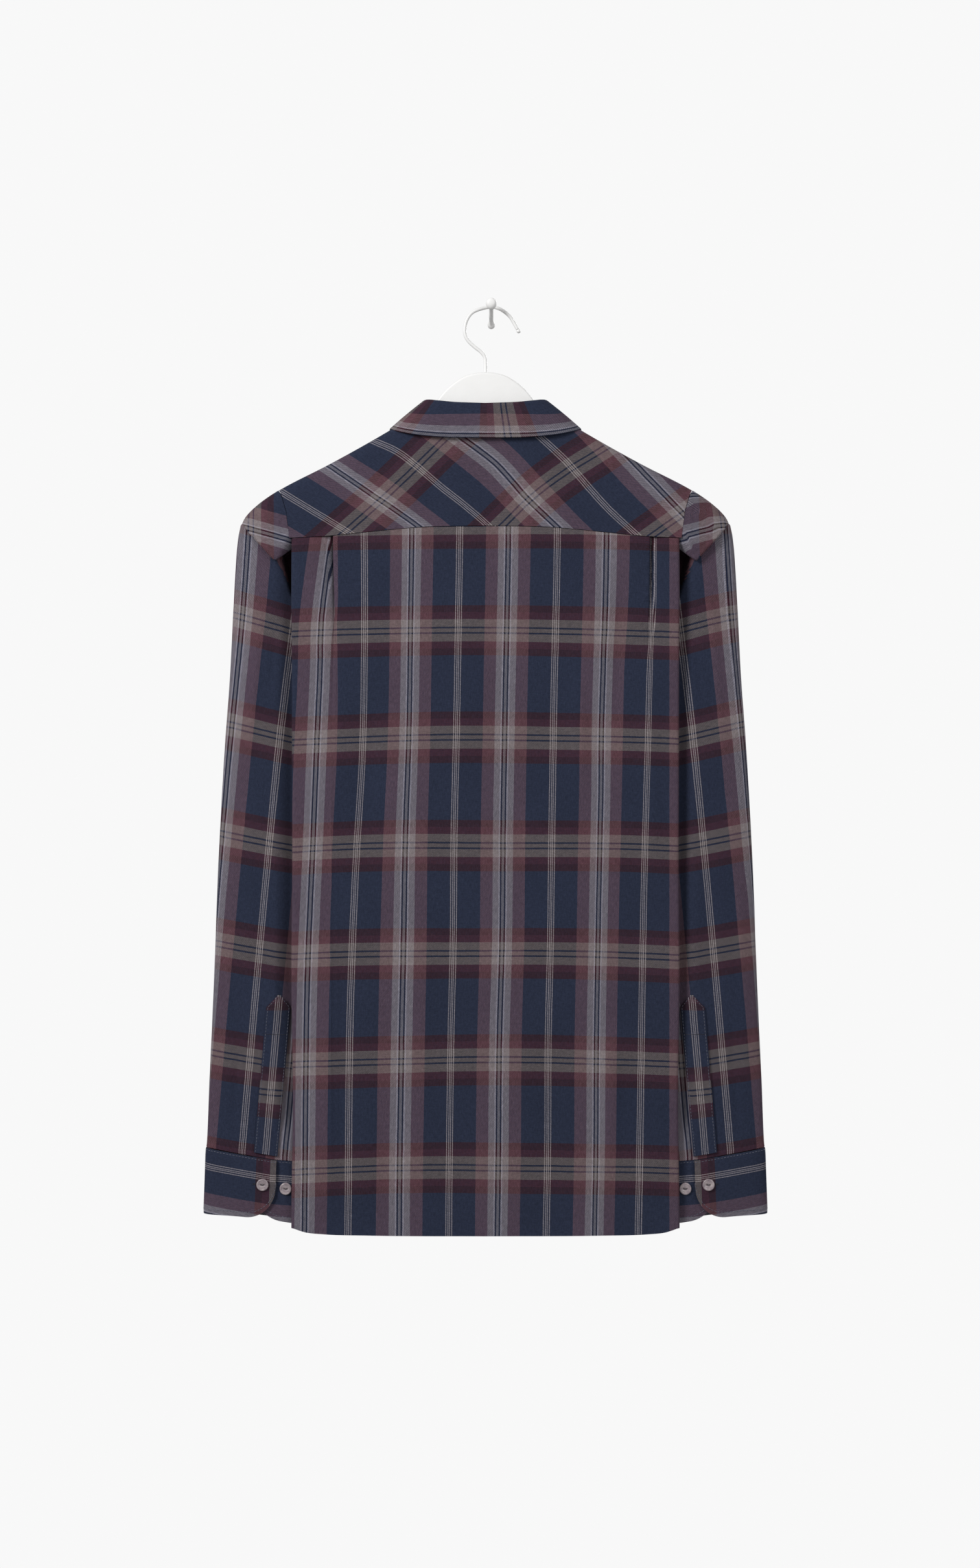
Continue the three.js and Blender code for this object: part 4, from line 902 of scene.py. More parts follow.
# Collar
def collar_lines(count):
    """Fold, edge, neck and the two directions at places round the collar, from one front end to the other."""
    at = np.linspace(-11, 11, count)
    sign, k = np.sign(at), np.abs(at)
    c = {name: read(COLLAR, "at", name, k) for name in COLLAR if name != "at"}
    fold, edge = [np.stack([CENTRE_X + sign * c[line + "X"], c[line + "Y"], c[line + "Z"]], axis=-1)
                  for line in ("fold", "edge")]
    neck_z = shoulder_z(c["neckX"]) - np.abs(c["neckDrop"]) + COLLAR_LIFT
    side = np.where(c["neckDrop"] < 0, -1, 1)
    neck = place(sign * c["neckX"], neck_z, half_depth(c["neckX"], neck_z), side)
    # The middle of the back is a little fuller
    fuller = 0.15 * np.maximum(0, 1 - (k / 1.2) ** 2)
    fold[:, 2] += fuller
    edge[:, 2] += fuller
    ahead = np.concatenate([fold[1:], fold[-1:]]) - np.concatenate([fold[:1], fold[:-1]])
    down = unit((edge + neck) / 2 - fold)
    out = unit(np.cross(ahead, down))
    flip = np.sum(out * (edge - neck), axis=-1, keepdims=True) < 0
    return fold, edge, neck, down, np.where(flip, -out, out), at


def build_collar():
    fold, edge, neck, down, out, at = collar_lines(181)
    radius = COLLAR_FOLD_RADIUS
    rows = [fold + down * COLLAR_TURN - out * radius, fold + down * (COLLAR_TURN + radius) / 2 - out * radius]
    for angle in np.linspace(0, math.pi, 11):
        rows.append(fold + down * radius * (1 - math.sin(angle)) - out * radius * math.cos(angle))
    start = rows[-1]
    for t in np.linspace(0, 1, 19)[1:]:
        swell = 0.5 * math.sin(math.pi * t)
        rows.append(lerp(start, edge, t) + out * swell)
    points = np.array(rows)
    run = run_along(points, 0)
    u = run[-1:] - run + COLLAR_THREADS[0]
    along = run_along(points[20:21], 1)[0]
    v = along - np.interp(0, at, along) + COLLAR_THREADS[1]
    shell("collar_turned_down", "collar_fall", points, u, v, COLLAR_CLOTH, FLANNEL)

    top = fold + down * (COLLAR_TURN + 2 * SEAM_GAP) - out * radius
    stand = np.array([lerp(top, neck, t) for t in np.linspace(0, 1, 9)])
    first = stand[:, :1].copy()
    first[..., 0] = CENTRE_X + STAND_END_X
    lead = np.concatenate([lerp(first, stand[:, :1], t) for t in (0, 0.2, 0.4, 0.6, 0.8)], axis=1)
    stand[:, -1, 0] = CENTRE_X + STAND_END_X + 0.45
    stand = np.concatenate([lead, stand], axis=1)
    run = run_along(stand, 0)
    along = run_along(stand[4:5], 1)
    u = STAND_THREAD - run
    # The band under the turned-down collar takes the darker copy of the flannel, as painted shade
    shell("collar_band", "collar_stand", stand, u, along, COLLAR_CLOTH, SHADED)


# Sleeves
def ring_profile(t):
    return (1 - np.abs(2 * t - 1) ** RING_SQUARENESS) ** (1 / RING_SQUARENESS)


def cuff_top_z(x):
    shown = (CUFF_OUTER_X - np.maximum(x, CUFF_LEVEL_X)) * CUFF_SLOPE
    hidden = np.maximum(0, CUFF_LEVEL_X - x) * CUFF_HIDDEN_SLOPE
    return CUFF_TOP_OUTER_Z - shown - hidden


RING_AT = np.concatenate([
    [0, 0.004, 0.012, 0.024, 0.04], np.linspace(0.06, 0.15, 8), np.linspace(0.162, 0.213, 6),
    np.linspace(0.222, 0.56, 30), np.linspace(0.59, 0.94, 14), [0.96, 0.976, 0.988, 0.996, 1],
])
# Where the white group runs down the sleeve's back, and where the grey weft bands cross it
SLEEVE_WARP = table("z x", [(-170, 172), (-267, 180), (-334, 186.6), (-612.6, 212.4), (-771, 226.2)])
SLEEVE_WEFT_Z = -281.4
SLEEVE_WEFT_STRETCH = 1.025
SLEEVE_TILT_X = 213
SLEEVE_TILT = table("z tilt", [
    (-200, 0.3), (-290, 0.29), (-400, 0.24), (-560, 0.18), (-700, 0.168), (-780, 0.168),
])
SLIT_SHIFT = 5.2


def hugging(t, out_x, out_z, in_x, in_z):
    """A ring that follows the armhole's run."""
    away = (1 - t) ** CAP_FALLOFF
    seam_x = read(ARMHOLE, "step", "x", t)
    seam_z = read(ARMHOLE, "step", "z", t)
    x = seam_x + (out_x - ARMHOLE["x"][0]) * away + (in_x - ARMHOLE["x"][-1]) * t
    z = seam_z + (out_z - ARMHOLE["z"][0]) * away + (in_z - ARMHOLE["z"][-1]) * t
    return x, z


def under_fold_x(z):
    """The fold that runs down from the cap's corner to the body."""
    (top_x, top_z), (foot_x, foot_z) = CAP_CORNER, UNDER_FOLD
    return lerp(top_x, foot_x, (top_z - z) / (top_z - foot_z))


def gap_x(z):
    """The edge of the gap beside the body."""
    return lerp(*GAP_X, (GAP_Z[0] - z) / (GAP_Z[0] - GAP_Z[1]))


def grooved(depth, x, z):
    """Beside the body the sleeve falls away, most of all just under its cap."""
    near = smoothstep(-x, -GROOVE_X[0], -GROOVE_X[1]) * smoothstep(z, -768, -740)
    under_cap = smoothstep(under_fold_x(z) - x, -1, 4) * smoothstep(z, -268, -252)
    return depth * lerp(1, GROOVE_DEPTH, near) * lerp(1, UNDER_CAP_DEPTH, under_cap)


def sleeve_ring(ring, t):
    c = {name: float(read(SLEEVE, "ring", name, ring)) for name in SLEEVE if name != "ring"}
    hug_x, hug_z = hugging(t, c["outX"], c["outZ"], c["inX"], c["inZ"])
    x = lerp(lerp(c["outX"], c["inX"], t), hug_x, c["hug"])
    plain_z = lerp(c["outZ"], c["inZ"], t)
    on_cuff = smoothstep(ring, 10, 12)
    plain_z = lerp(plain_z, cuff_top_z(x) + 0.8, on_cuff)
    z = lerp(plain_z, hug_z, c["hug"])
    folds = fold_height(SLEEVE_FOLDS, t, z) * smoothstep(t, 0.02, 0.08)
    depth = np.maximum(0.7, c["half"] * ring_profile(t)) + folds
    return x, z, grooved(depth, x, z), depth


def sleeve_cap(t, seam_x, seam_z):
    """Rows of the cap, from its seam out to the fold where it turns under, as x, z and depth."""
    on_yoke = 1 - smoothstep(t, 0.163, 0.195)
    under_edge = np.minimum(read(ARMHOLE, "step", "depth", t), CAP_UNDER_DEPTH)
    seam_depth = lerp(under_edge, half_depth(seam_x, np.minimum(seam_z, CAP_RIDGE_Z)), on_yoke)
    to_corner = np.clip(t / CAP_CORNER_STEP, 0, 1)
    to_end = np.clip((t - CAP_CORNER_STEP) / (CAP_END_STEP - CAP_CORNER_STEP), 0, 1)
    past = t > CAP_END_STEP
    top = CAP_OUTLINE["x"][-1], CAP_OUTLINE["z"][-1]
    edge = [lerp(lerp(top[k], CAP_CORNER[k], to_corner), CAP_END[k], to_end) for k in (0, 1)]
    edge_x, edge_z = np.where(past, seam_x + 0.4, edge[0]), np.where(past, seam_z, edge[1])
    slope, line, width, deep = CAP_CREASE
    rows = []
    for share in np.linspace(0, 1, CAP_ROWS):
        x, z = lerp(seam_x, edge_x, share), lerp(seam_z, edge_z, share)
        round_x = read(CAP_OUTLINE, "share", "x", share) - lerp(CAP_OUTLINE["x"][0], top[0], share)
        round_z = read(CAP_OUTLINE, "share", "z", share) - lerp(CAP_OUTLINE["z"][0], top[1], share)
        near = (1 - to_corner) ** 2
        swell = 0.5 * math.sin(math.pi * share) * smoothstep(t, 0.02, 0.08) * (1 - to_end)
        crease = deep * np.exp(-(((x - slope * z - line) / width) ** 2)) * smoothstep(share, 0.3, 0.6)
        depth = seam_depth * lerp(1, CAP_FLAT, share * (1 - past)) + swell - crease * (1 - past)
        rows.append((x + round_x * near, z + round_z * near, depth))
    return rows


def cap_tuck(t, rows, seam_x, seam_z):
    """Adds the rows that turn under the cap's fold and run on to the sleeve's first ring, to its rows.

    Each new row ends with the depth that it would have without the groove beside the body.
    """
    edge_x, edge_z, edge_depth = rows[-1]
    start_x, start_z, start_depth, start_plain = sleeve_ring(0.0, t)
    length = np.hypot(edge_x - seam_x, edge_z - seam_z) + 1e-6
    out_x, out_z = (edge_x - seam_x) / length, (edge_z - seam_z) / length
    there = smoothstep(t, 0.004, 0.04) * (1 - smoothstep(t, 0.185, CAP_END_STEP))
    tuck = CAP_TUCK * there
    fall = np.maximum(edge_depth - start_depth, 0)
    radius = np.minimum(fall / 4, 1.3) * there
    rows = list(rows)
    for angle in np.linspace(0.15, 1, 6) * math.pi:
        shift = radius * math.sin(angle)
        low = edge_depth - radius * (1 - math.cos(angle))
        rows.append((edge_x + out_x * shift, edge_z + out_z * shift, low))
    for share in (0.35, 0.7, 1):
        low = edge_depth - 2 * radius - (fall - 4 * radius) * there * share * 0.5
        rows.append((edge_x - out_x * tuck * share, edge_z - out_z * tuck * share, low))
    tucked_depth = rows[-1][2]
    at_top = 1 - smoothstep(t, 0.004, 0.04)
    first_x = lerp(edge_x - out_x * tuck, start_x, at_top)
    first_z = lerp(edge_z - out_z * tuck, start_z, at_top)
    first_depth = grooved(start_plain, first_x, first_z)
    for share in (0.25, 0.5, 0.75):
        low = lerp(tucked_depth, first_depth, share)
        back = tuck * (1 + 0.12 * math.sin(math.pi * share))
        rows.append((edge_x - out_x * back, edge_z - out_z * back, low))
    rows = [row + (row[2],) for row in rows]
    for share in np.linspace(0, 1, 14)[:-1]:
        x, z = lerp(first_x, start_x, share), lerp(first_z, start_z, share)
        rows.append((x, z, grooved(start_plain, x, z), start_plain))
    return rows


def sleeve_cloth(x, z, run, on_cap, mirror):
    """The threads at each place of a sleeve, from the length of cloth that has run round it."""
    half = len(RING_AT)
    white_x = read(SLEEVE_WARP, "z", "x", z[:, 12])
    at_white = np.array([np.interp(-white_x[i], -x[i, :half], run[i, :half]) for i in range(len(x))])
    u = WHITE_GROUP + run - at_white[:, None]
    v = (z - SLEEVE_WEFT_Z + read(SLEEVE_TILT, "z", "tilt", z) * (SLEEVE_TILT_X - x)) / SLEEVE_WEFT_STRETCH
    # The cloth on the far side of the cuff slit, under the placket, is set over a little
    top, foot = SLEEVE_PLACKET_Z
    slit_x = lerp(*SLEEVE_PLACKET_X, (top - z) / (top - foot))
    u = u + SLIT_SHIFT * ((z < top - SLEEVE_PLACKET_POINT) * smoothstep(slit_x - x, -6, 6))
    # The cap's cloth is turned over, so its stripes run across
    (spot_x, spot_z), across, down = CAP_WARP
    cap_u = across * (x - spot_x) + down * (z - spot_z)
    if mirror:
        cap_u = np.where(cap_u < -CAP_REPEAT, -2 * CAP_REPEAT - cap_u, cap_u)
    spot_x, start, across = CAP_WEFT
    u, v = np.where(on_cap, cap_u, u), np.where(on_cap, start + (x - spot_x) * across, v)
    # Inside the fold under the cap another part of the check shows, and painted shade in the gap
    inside = ~on_cap & (x < under_fold_x(z)) & (z > UNDER_FOLD[1])
    (spot_x, spot_z), start, across, down = FOLD_CLOTH
    u = np.where(inside, start + across * (x - spot_x), u)
    v = np.where(inside, start + down * (z - spot_z), v)
    # The gap's painted shade: one colour, the check's darkest, navy on brown
    deep = inside & (x < gap_x(z) + 1)
    return np.where(deep, GAP_PAINTED_SHADE[0], u), np.where(deep, GAP_PAINTED_SHADE[1], v)


def build_sleeve(name, sign):
    t = RING_AT
    seam_x, seam_z = [np.interp(t, CAP_SEAM["step"], CAP_SEAM[key]) for key in ("x", "z")]
    rows = cap_tuck(t, sleeve_cap(t, seam_x, seam_z), seam_x, seam_z)
    for ring in np.concatenate([np.linspace(0, 3, 24), np.linspace(3, 12, 92)[1:]]):
        rows.append(sleeve_ring(float(ring), t))
    x, z, depth, plain_depth = [np.array([row[k] for row in rows]) for k in range(4)]
    row = np.arange(len(rows))[:, None]
    dive = GAP_DIVE * smoothstep(gap_x(z) - x, -2, 2) * smoothstep(z, GAP_Z[1] - 14, GAP_Z[1])
    dive = dive * (row >= CAP_ROWS + 12)

    def both_sides(back_depth, front_depth):
        back, front = place(sign * x, z, back_depth, 1), place(sign * x, z, front_depth, -1)
        return np.concatenate([back, front[:, ::-1]], axis=1)

    points = both_sides(depth - dive, depth + dive)
    plain = both_sides(plain_depth, plain_depth)
    run = run_along(np.concatenate([plain, plain[:, :1]], axis=1) * np.array([1, 1, 0.0]), 1)
    round_x, round_z = [np.concatenate([a, a[:, ::-1], a[:, :1]], axis=1) for a in (x, z)]
    u, v = sleeve_cloth(round_x, round_z, run, row < CAP_ROWS + 4, sign > 0)
    if sign > 0:
        points, u, v = points[:, ::-1], u[:, ::-1], v[:, ::-1]
    shell(f"sleeve_{name}_cloth", "sleeve_" + name, points, u, v, CLOTH, FLANNEL, closed=True)


def sleeve_surface(x, z, lift):
    at = np.interp(-z, -SLEEVE["outZ"], SLEEVE["ring"])
    out_x, in_x = read(SLEEVE, "ring", "outX", at), read(SLEEVE, "ring", "inX", at)
    half = read(SLEEVE, "ring", "half", at)
    return grooved(half * ring_profile(np.clip((out_x - x) / (out_x - in_x), 0, 1)), x, z) + lift


def build_sleeve_placket(name, sign):
    tall = SLEEVE_PLACKET_Z[0] - SLEEVE_PLACKET_Z[1]
    t = np.concatenate([np.linspace(0, SLEEVE_PLACKET_POINT / tall, 7), np.linspace(0.09, 1, 48)])[:, None]
    z = lerp(*SLEEVE_PLACKET_Z, t)
    middle = lerp(*SLEEVE_PLACKET_X, t)
    half = lerp(0.6, SLEEVE_PLACKET_WIDTH / 2, np.clip(t * tall / SLEEVE_PLACKET_POINT, 0, 1))
    k = np.linspace(-1, 1, 13)[None, :]
    x = middle + k * half
    slant = (middle - x) * CUFF_SLOPE * t
    tuck = 0.35 * smoothstep(np.abs(k), 0.8, 1)
    points = place(sign * x, z - slant, sleeve_surface(x, z, 1.9) + 0.5 - tuck, 1)
    u = WHITE_GROUP + k * half
    v = z - SLEEVE_PLACKET_WEFT_Z
    if sign > 0:
        points, u = points[:, ::-1], u[:, ::-1]
    shell(f"sleeve_placket_{name}_band", "sleeve_placket_" + name, points, u, v, STRIP_CLOTH, FLANNEL)


def build_cuff(name, sign):
    at = np.linspace(0, 19, 130)
    x = read(CUFF_PATH, "at", "x", at)[None, :]
    depth = read(CUFF_PATH, "at", "depth", at)[None, :]
    over, under = CUFF_PATH["x"][0], CUFF_PATH["x"][-1]
    is_over, is_under = at <= CUFF_OVER_END, at >= CUFF_UNDER_END
    on_end = np.where(is_over, x - over, under - x)
    wide, tall = CUFF_CORNER
    in_corner = np.where(is_over | is_under, np.clip(1 - on_end / wide, 0, 1), 0)
    foot = read(CUFF_FOOT, "x", "z", x) + tall * (1 - np.sqrt(1 - in_corner**2))
    height = cuff_top_z(x) - foot
    t = np.linspace(0, 1, 22)[:, None]
    z = cuff_top_z(x) - t * height
    down = cuff_top_z(x) - z
    # The middle of the band is padded by its layers, and its edges are pressed
    swell = 0.35 * smoothstep(down, 0, 5) * smoothstep(height - down, 0, 5)
    path = np.stack([x[0], depth[0]], axis=-1)
    along = unit(np.gradient(path, axis=0))
    swollen_x = x + CUFF_LEAN * down + swell * -along[None, :, 1]
    points = place(sign * swollen_x, z, depth + swell * along[None, :, 0], 1)
    u = CUFF_THREADS[0] - down
    v = run_along(path, 0)[None, :] + CUFF_THREADS[1]
    if sign > 0:
        points, u, v = points[:, ::-1], u[:, ::-1], v[:, ::-1]
    shell(f"cuff_{name}_band", "cuff_" + name, points, u, v, CUFF_CLOTH, FLANNEL)


# Buttons
BUTTON_RADIUS = 5.7
BUTTON_THICK = 2.2
BUTTON_RINGS = [
    (0.7, 0.0), (0.9, 0.08), (0.985, 0.3), (1.0, 0.5), (0.975, 0.76), (0.92, 0.93), (0.85, 1.0), (0.78, 0.98),
    (0.7, 0.9), (0.62, 0.84), (0.5, 0.82), (0.4, 0.81), (0.3, 0.8), (0.2, 0.8), (0.1, 0.8),
]
BUTTON_SIDES = 48
BUTTON_HOLES = (-1.25, 1.25)
HOLE_RADIUS = 0.62
HOLE_DEPTH = 1.0
DISH = (3.5, 1.75, 0.55)


def dish_height(r, h, x, z):
    """Height of a button's face against its ring, less in the oval dish and its holes."""
    if h < 0.79 or r > 0.75:
        return 0.0
    wide, tall, deep = DISH
    height = -deep * max(0.0, 1 - ((x / wide) ** 2 + (z / tall) ** 2)) ** 0.5
    return height - HOLE_DEPTH * sum((x - hole) ** 2 + z**2 < HOLE_RADIUS**2 for hole in BUTTON_HOLES)


def button(name, middle, facing, turn=0.0):
    """A two-hole button with a raised rim and an oval dish, its thread and its back at the given middle."""
    c, s = math.cos(turn), math.sin(turn)
    flip = np.array([1, 1, 1]) if facing < 0 else np.array([-1, -1, 1])
    middle = np.array(middle)
    rings = []
    for r, h in BUTTON_RINGS:
        ring = []
        for a in np.arange(BUTTON_SIDES) * 2 * math.pi / BUTTON_SIDES:
            x, z = r * BUTTON_RADIUS * math.cos(a), r * BUTTON_RADIUS * math.sin(a)
            ring.append((x * c - z * s, -(h * BUTTON_THICK + dish_height(r, h, x, z)), x * s + z * c))
        rings.append(np.array(ring) * flip + middle)
    ring_solid(name + "_pearl", name, rings, PEARL, sharp=35, turned=True)
    across, outward = np.array([c, 0, s]) * flip, np.array([0, -1.0, 0]) * flip
    bars = []
    for side in (-0.28, 0.28):
        start = outward * 1.25 + np.array([0, 0, side]) + middle
        line = np.array([across * q + start + outward * bow
                         for q, bow in ((-1.3, 0), (-0.6, 0.55), (0, 0.7), (0.6, 0.55), (1.3, 0))])
        bars.append((line, np.tile(outward, (5, 1))))
    stitches(name + "_pearl_thread", bars, BUTTON_THREAD, pitch=0.85, length=1.15, half=0.22)


# Hanger and peg
HOOK_ROUTE = table("x z", [
    (24.4, -8.2), (22, -4), (17.6, 3.2), (12, 8.2), (6, 11.4), (0, 12.4), (-10.2, 10.6), (-18, 7),
    (-22.8, 0.4), (-24.7, -6.9), (-24.4, -13.5), (-21.6, -19), (-15.7, -24.7), (-9.1, -30), (-6, -34.6),
    (-5.4, -40), (-5.4, -48.6),
])
HOOK_WIRE = 1.6
HOOK_TIP = 2
HOOK_ROWS = 150
BOARD_THICK = 10.0
BOARD_EDGE = 2.4
PEG_SIDES = 32
PEG_PROFILE = [
    (0.01, 0), (3.4, 0), (3.4, 1.2), (3.3, 2.4), (2.6, 3.3), (2, 4), (2, 12), (2, 22), (2, 31.8), (2.4, 32.8),
    (3.3, 33.4), (4.2, 34), (4.75, 35), (5, 36.4), (4.9, 37.5), (4.5, 38.4), (3.8, 39.15), (2.75, 39.7),
    (1.4, 39.95), (0.01, 40),
]
PEG_RISE = 8.5 / 24
HANGER_NECK = [
    (0, -49), (17, -51.6), (30, -59), (41, -69.4), (47.4, -79), (51.6, -87.6), (60, -91.8), (68, -94),
]
HANGER_ARM = [78, 88, 98, 115, 132, 150, 166, 177]
HANGER_END = [
    (184, -161), (191, -168.5), (197, -175), (199, -182), (194, -189), (185, -190), (150, -176), (88, -146),
    (40, -125), (0, -118),
]


def smooth_path(points, count):
    """A centripetal Catmull-Rom curve through points."""
    points = np.asarray(points, float)
    ends = np.concatenate([[2 * points[0] - points[1]], points, [2 * points[-1] - points[-2]]])
    knots = np.concatenate([[0], np.cumsum(np.linalg.norm(np.diff(ends, axis=0), axis=1) ** 0.5)])
    made = []
    for at in np.linspace(knots[1], knots[-2], count):
        i = int(np.clip(np.searchsorted(knots, at, side="right") - 1, 1, len(knots) - 3))
        k0, k1, k2, k3 = knots[i - 1: i + 3]
        p0, p1, p2, p3 = ends[i - 1: i + 3]
        a1 = p0 * (k1 - at) / (k1 - k0) + p1 * (at - k0) / (k1 - k0)
        a2 = p1 * (k2 - at) / (k2 - k1) + p2 * (at - k1) / (k2 - k1)
        a3 = p2 * (k3 - at) / (k3 - k2) + p3 * (at - k2) / (k3 - k2)
        b1 = a1 * (k2 - at) / (k2 - k0) + a2 * (at - k0) / (k2 - k0)
        b2 = a2 * (k3 - at) / (k3 - k1) + a3 * (at - k1) / (k3 - k1)
        made.append(b1 * (k2 - at) / (k2 - k1) + b2 * (at - k1) / (k2 - k1))
    return np.array(made)


def tube(name, node, path, radii, sides=20):
    """A round tube of white wire with closed ends along a path."""
    along = unit(np.gradient(path, axis=0))
    side = unit(np.cross(along, np.array([0, 1.0, 0])))
    other = np.cross(side, along)
    angles = np.arange(sides) * 2 * math.pi / sides
    rings = [p + r * (np.outer(np.cos(angles), s) + np.outer(np.sin(angles), o))
             for p, r, s, o in zip(path, radii, side, other)]
    ring_solid(name, node, rings, WIRE_WHITE)


def build_hook():
    route = smooth_path(np.stack([HOOK_ROUTE["x"], HOOK_ROUTE["z"]], axis=1), HOOK_ROWS)
    path = np.stack([route[:, 0], np.full(HOOK_ROWS, float(MIDDLE_Y)), route[:, 1]], axis=1)
    tube("hook_wire", "hanger_hook", path, np.full(HOOK_ROWS, float(HOOK_WIRE)))
    ahead = unit(path[1] - path[0])
    start = path[0] - ahead * (HOOK_TIP + 0.15)
    angles = np.linspace(0.02, math.pi - 0.02, 17)
    ball_path = start + np.outer(np.cos(angles) * HOOK_TIP, ahead)
    tube("hook_ball", "hook_tip", ball_path, np.sin(angles) * HOOK_TIP)


def build_board():
    arm = [(x, float(shoulder_z(x)) - 1.6) for x in HANGER_ARM]
    # The curve starts and ends beyond the middle, so that both halves meet there without a kink
    half = smooth_path([(-17, -51.6)] + HANGER_NECK + arm + HANGER_END + [(-40, -125)], 260)
    half = half[half[:, 0] >= 0]
    outline = np.concatenate([half, (half * np.array([-1, 1]))[::-1]])
    outline = outline[np.concatenate([[True], np.linalg.norm(np.diff(outline, axis=0), axis=1) > 0.2])]
    tangent = unit(np.roll(outline, -1, axis=0) - np.roll(outline, 1, axis=0))
    outward = np.stack([-tangent[:, 1], tangent[:, 0]], axis=1)
    rings = []
    for angle in np.linspace(-math.pi / 2, math.pi / 2, 13):
        s, c = math.sin(angle), math.cos(angle)
        inward = outline - outward * BOARD_EDGE * (1 - c)
        y = MIDDLE_Y + s * BOARD_EDGE + (BOARD_THICK / 2 - BOARD_EDGE) * (1 if s > 0 else -1 if s < 0 else 0)
        rings.append(np.stack([CENTRE_X + inward[:, 0], np.full(len(outline), y), inward[:, 1]], axis=1))
    ring_solid("hanger_board_white", "hanger_board", rings, BOARD_WHITE, sharp=60)


def build_peg():
    angles = np.arange(PEG_SIDES) * 2 * math.pi / PEG_SIDES
    rings = [np.stack([r * np.cos(angles), np.full(PEG_SIDES, -h), r * np.sin(angles) + h * PEG_RISE], axis=1)
             for r, h in PEG_PROFILE]
    ring_solid("peg_white", "wall_peg", rings, BOARD_WHITE)


# Build
SIDES = (("left", -1), ("right", 1))
CUFF_BUTTONS = (("fastened", 206.8, -804.4, 11.6), ("spare", 185.6, -808.6, 8.5))
CUFF_BUTTONHOLE = (213.4, 11.35, -804)
FRONT_BUTTON_Z = -262
FRONT_BUTTON_STEP = 88
SLEEVE_BAR_Z = -664.8

build_back()
build_yoke()
for side, sign in SIDES:
    build_front("front_" + side, sign)
build_front_placket()
build_collar()
for side, sign in SIDES:
    build_sleeve(side, sign)
    build_sleeve_placket(side, sign)
    build_cuff(side, sign)
    for which, x, z, depth in CUFF_BUTTONS:
        button(f"cuff_button_{side}_{which}", (CENTRE_X + sign * x, MIDDLE_Y - depth, z), -1)
for k in range(7):
    spot = (CENTRE_X, MIDDLE_Y + HALF_DEPTH + 2.5, FRONT_BUTTON_Z - FRONT_BUTTON_STEP * k)
    button(f"front_button_{k + 1}", spot, 1, math.pi / 2)
button("collar_button", (CENTRE_X, MIDDLE_Y + 16, -189.5), 1)
build_hook()
build_board()
build_peg()


def buttonhole(name, sign):
    """A dense bar of stitches on the back of a cuff."""
    middle_x, depth, z = CUFF_BUTTONHOLE
    rows = []
    for lift in (-0.5, 0, 0.5):
        x = CENTRE_X + sign * middle_x + np.linspace(-2.6, 2.6, 9)
        line = np.stack([x, np.full(9, MIDDLE_Y - depth), np.full(9, z + lift)], axis=1)
        rows.append((line, np.tile(np.array([0, -1.0, 0]), (9, 1))))
    stitches(name, rows, BUTTON_THREAD, pitch=0.9, length=1.2, half=0.2)


def sew(name, cloth, *lines):
    """Rows of stitches at distances from the edges of a piece of cloth."""
    stitches(name, [inset(cloth, edge, distance) for edge, distance in lines], THREAD)


for side, sign in SIDES:
    buttonhole(f"cuff_{side}_buttonhole", sign)
    points, _, thick = SURFACES[f"sleeve_placket_{side}_band"]
    row = int(np.argmin(np.abs(points[:, 6, 2] - SLEEVE_BAR_Z)))
    line = points[row] + np.array([0, -thick / 2 - THREAD_LIFT, 0])
    facing = np.tile(np.array([0, -1.0, 0]), (len(line), 1))
    stitches(f"sleeve_placket_{side}_bar", [(line, facing)], BUTTON_THREAD, 1.5, 1.6)

sew("back_stitches", "shirt_back", ("bottom", 6.4))
sew("yoke_stitches", "shirt_yoke", ("bottom", 1.6))
sew("collar_stitches", "collar_turned_down", ("bottom", 5.4))
for side, _ in SIDES:
    sew(f"front_{side}_stitches", f"shirt_front_{side}", ("bottom", 6.4))
    sew(f"cuff_{side}_stitches", f"cuff_{side}_band", ("bottom", 4.6), ("top", 1.6))
    sew(f"sleeve_placket_{side}_stitches", f"sleeve_placket_{side}_band", ("left", 1.4), ("right", 1.4))
sew("placket_stitches", "front_placket_band", ("left", 5), ("right", 5))

# The cut of what shows of each piece of cloth, and its area where the cut isn't a rectangle
SHEETS = [
    ("shirt_back", (0.59, 0.65), 0.343, ["back_stitches"]),
    ("shirt_yoke", (0.39, 0.16), 0.0437, ["yoke_stitches"]),
    ("shirt_front_left", (0.30, 0.70), 0.184, ["front_left_stitches"]),
    ("shirt_front_right", (0.30, 0.70), 0.184, ["front_right_stitches"]),
    ("front_placket_band", (0.033, 0.65), None, ["placket_stitches"]),
    ("collar_turned_down", (0.45, 0.06), None, ["collar_stitches"]),
    ("collar_band", (0.40, 0.021), None, []),
]
for side, _ in SIDES:
    placket = f"sleeve_placket_{side}"
    SHEETS += [
        (f"sleeve_{side}_cloth", (0.29, 0.66), 0.155, []),
        (placket + "_band", (0.0215, 0.148), None, [placket + "_stitches", placket + "_bar"]),
        (f"cuff_{side}_band", (0.26, 0.062), None, [f"cuff_{side}_stitches", f"cuff_{side}_buttonhole"]),
    ]

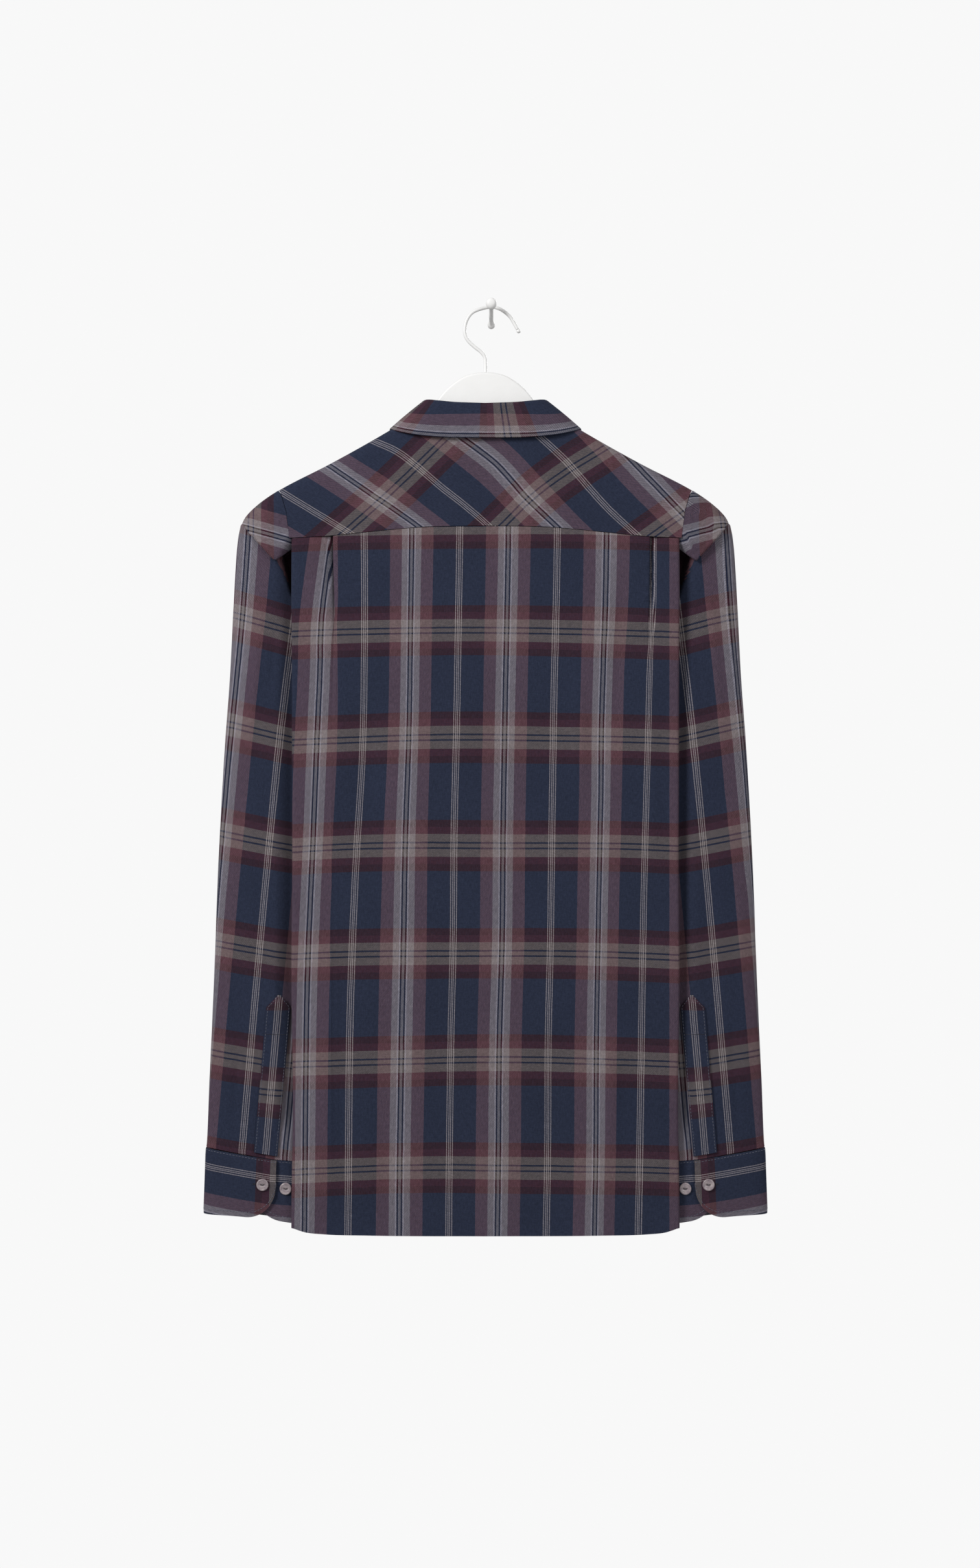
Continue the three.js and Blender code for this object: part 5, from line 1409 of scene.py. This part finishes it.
# Camera: level, opposite the middle of the picture
PICTURE_TALL = 1.452
CAMERA_AWAY = 2.1
PICTURE_MIDDLE = (-0.0012, -0.04, -0.4326)
SENSOR = 36
camera = bpy.data.objects.new("camera", bpy.data.cameras.new("camera"))
bpy.context.scene.collection.objects.link(camera)
camera.data.sensor_width = SENSOR
camera.data.lens = SENSOR * CAMERA_AWAY / PICTURE_TALL
camera.data.clip_end = 30
camera.location = (PICTURE_MIDDLE[0], PICTURE_MIDDLE[1] - CAMERA_AWAY, PICTURE_MIDDLE[2])
camera.rotation_euler = (math.pi / 2, 0, 0)
bpy.context.scene.camera = camera


# Pale light all round, as in a studio. The photograph shows no floor.
AMBIENT = 0.32
BACKGROUND = 0.94
world = bpy.data.worlds.new("studio")
bpy.context.scene.world = world
world.use_nodes = True
nodes, links = world.node_tree.nodes, world.node_tree.links
light = nodes["Background"]
light.inputs["Color"].default_value = (1, 1, 1, 1)
light.inputs["Strength"].default_value = AMBIENT
shown = nodes.new("ShaderNodeBackground")
shown.inputs["Color"].default_value = (BACKGROUND, BACKGROUND, BACKGROUND, 1)
blend = nodes.new("ShaderNodeMixShader")
links.new(nodes.new("ShaderNodeLightPath").outputs["Is Camera Ray"], blend.inputs[0])
links.new(light.outputs[0], blend.inputs[1])
links.new(shown.outputs[0], blend.inputs[2])
links.new(blend.outputs[0], nodes["World Output"].inputs["Surface"])

# The lights' names, places, targets, widths and powers
LIGHTS = [
    ("key", (-1.9, -1.9, 1.0), (0, 0, -0.4), 1.0, 66), ("fill", (1.7, -2.4, 0.3), (0, 0, -0.5), 1.8, 22),
    ("behind", (1.6, 2.2, 0.9), (0, 0, -0.4), 1.4, 50),
]
for name, spot, target, width, power in LIGHTS:
    data = bpy.data.lights.new(name, "AREA")
    data.shape = "SQUARE"
    data.size = width
    data.energy = power
    lamp = bpy.data.objects.new(name, data)
    bpy.context.scene.collection.objects.link(lamp)
    lamp.location = spot
    lamp.rotation_euler = (Vector(target) - Vector(spot)).to_track_quat("-Z", "Y").to_euler()

bpy.context.scene.view_settings.view_transform = "Standard"
bpy.context.scene.view_settings.look = "None"
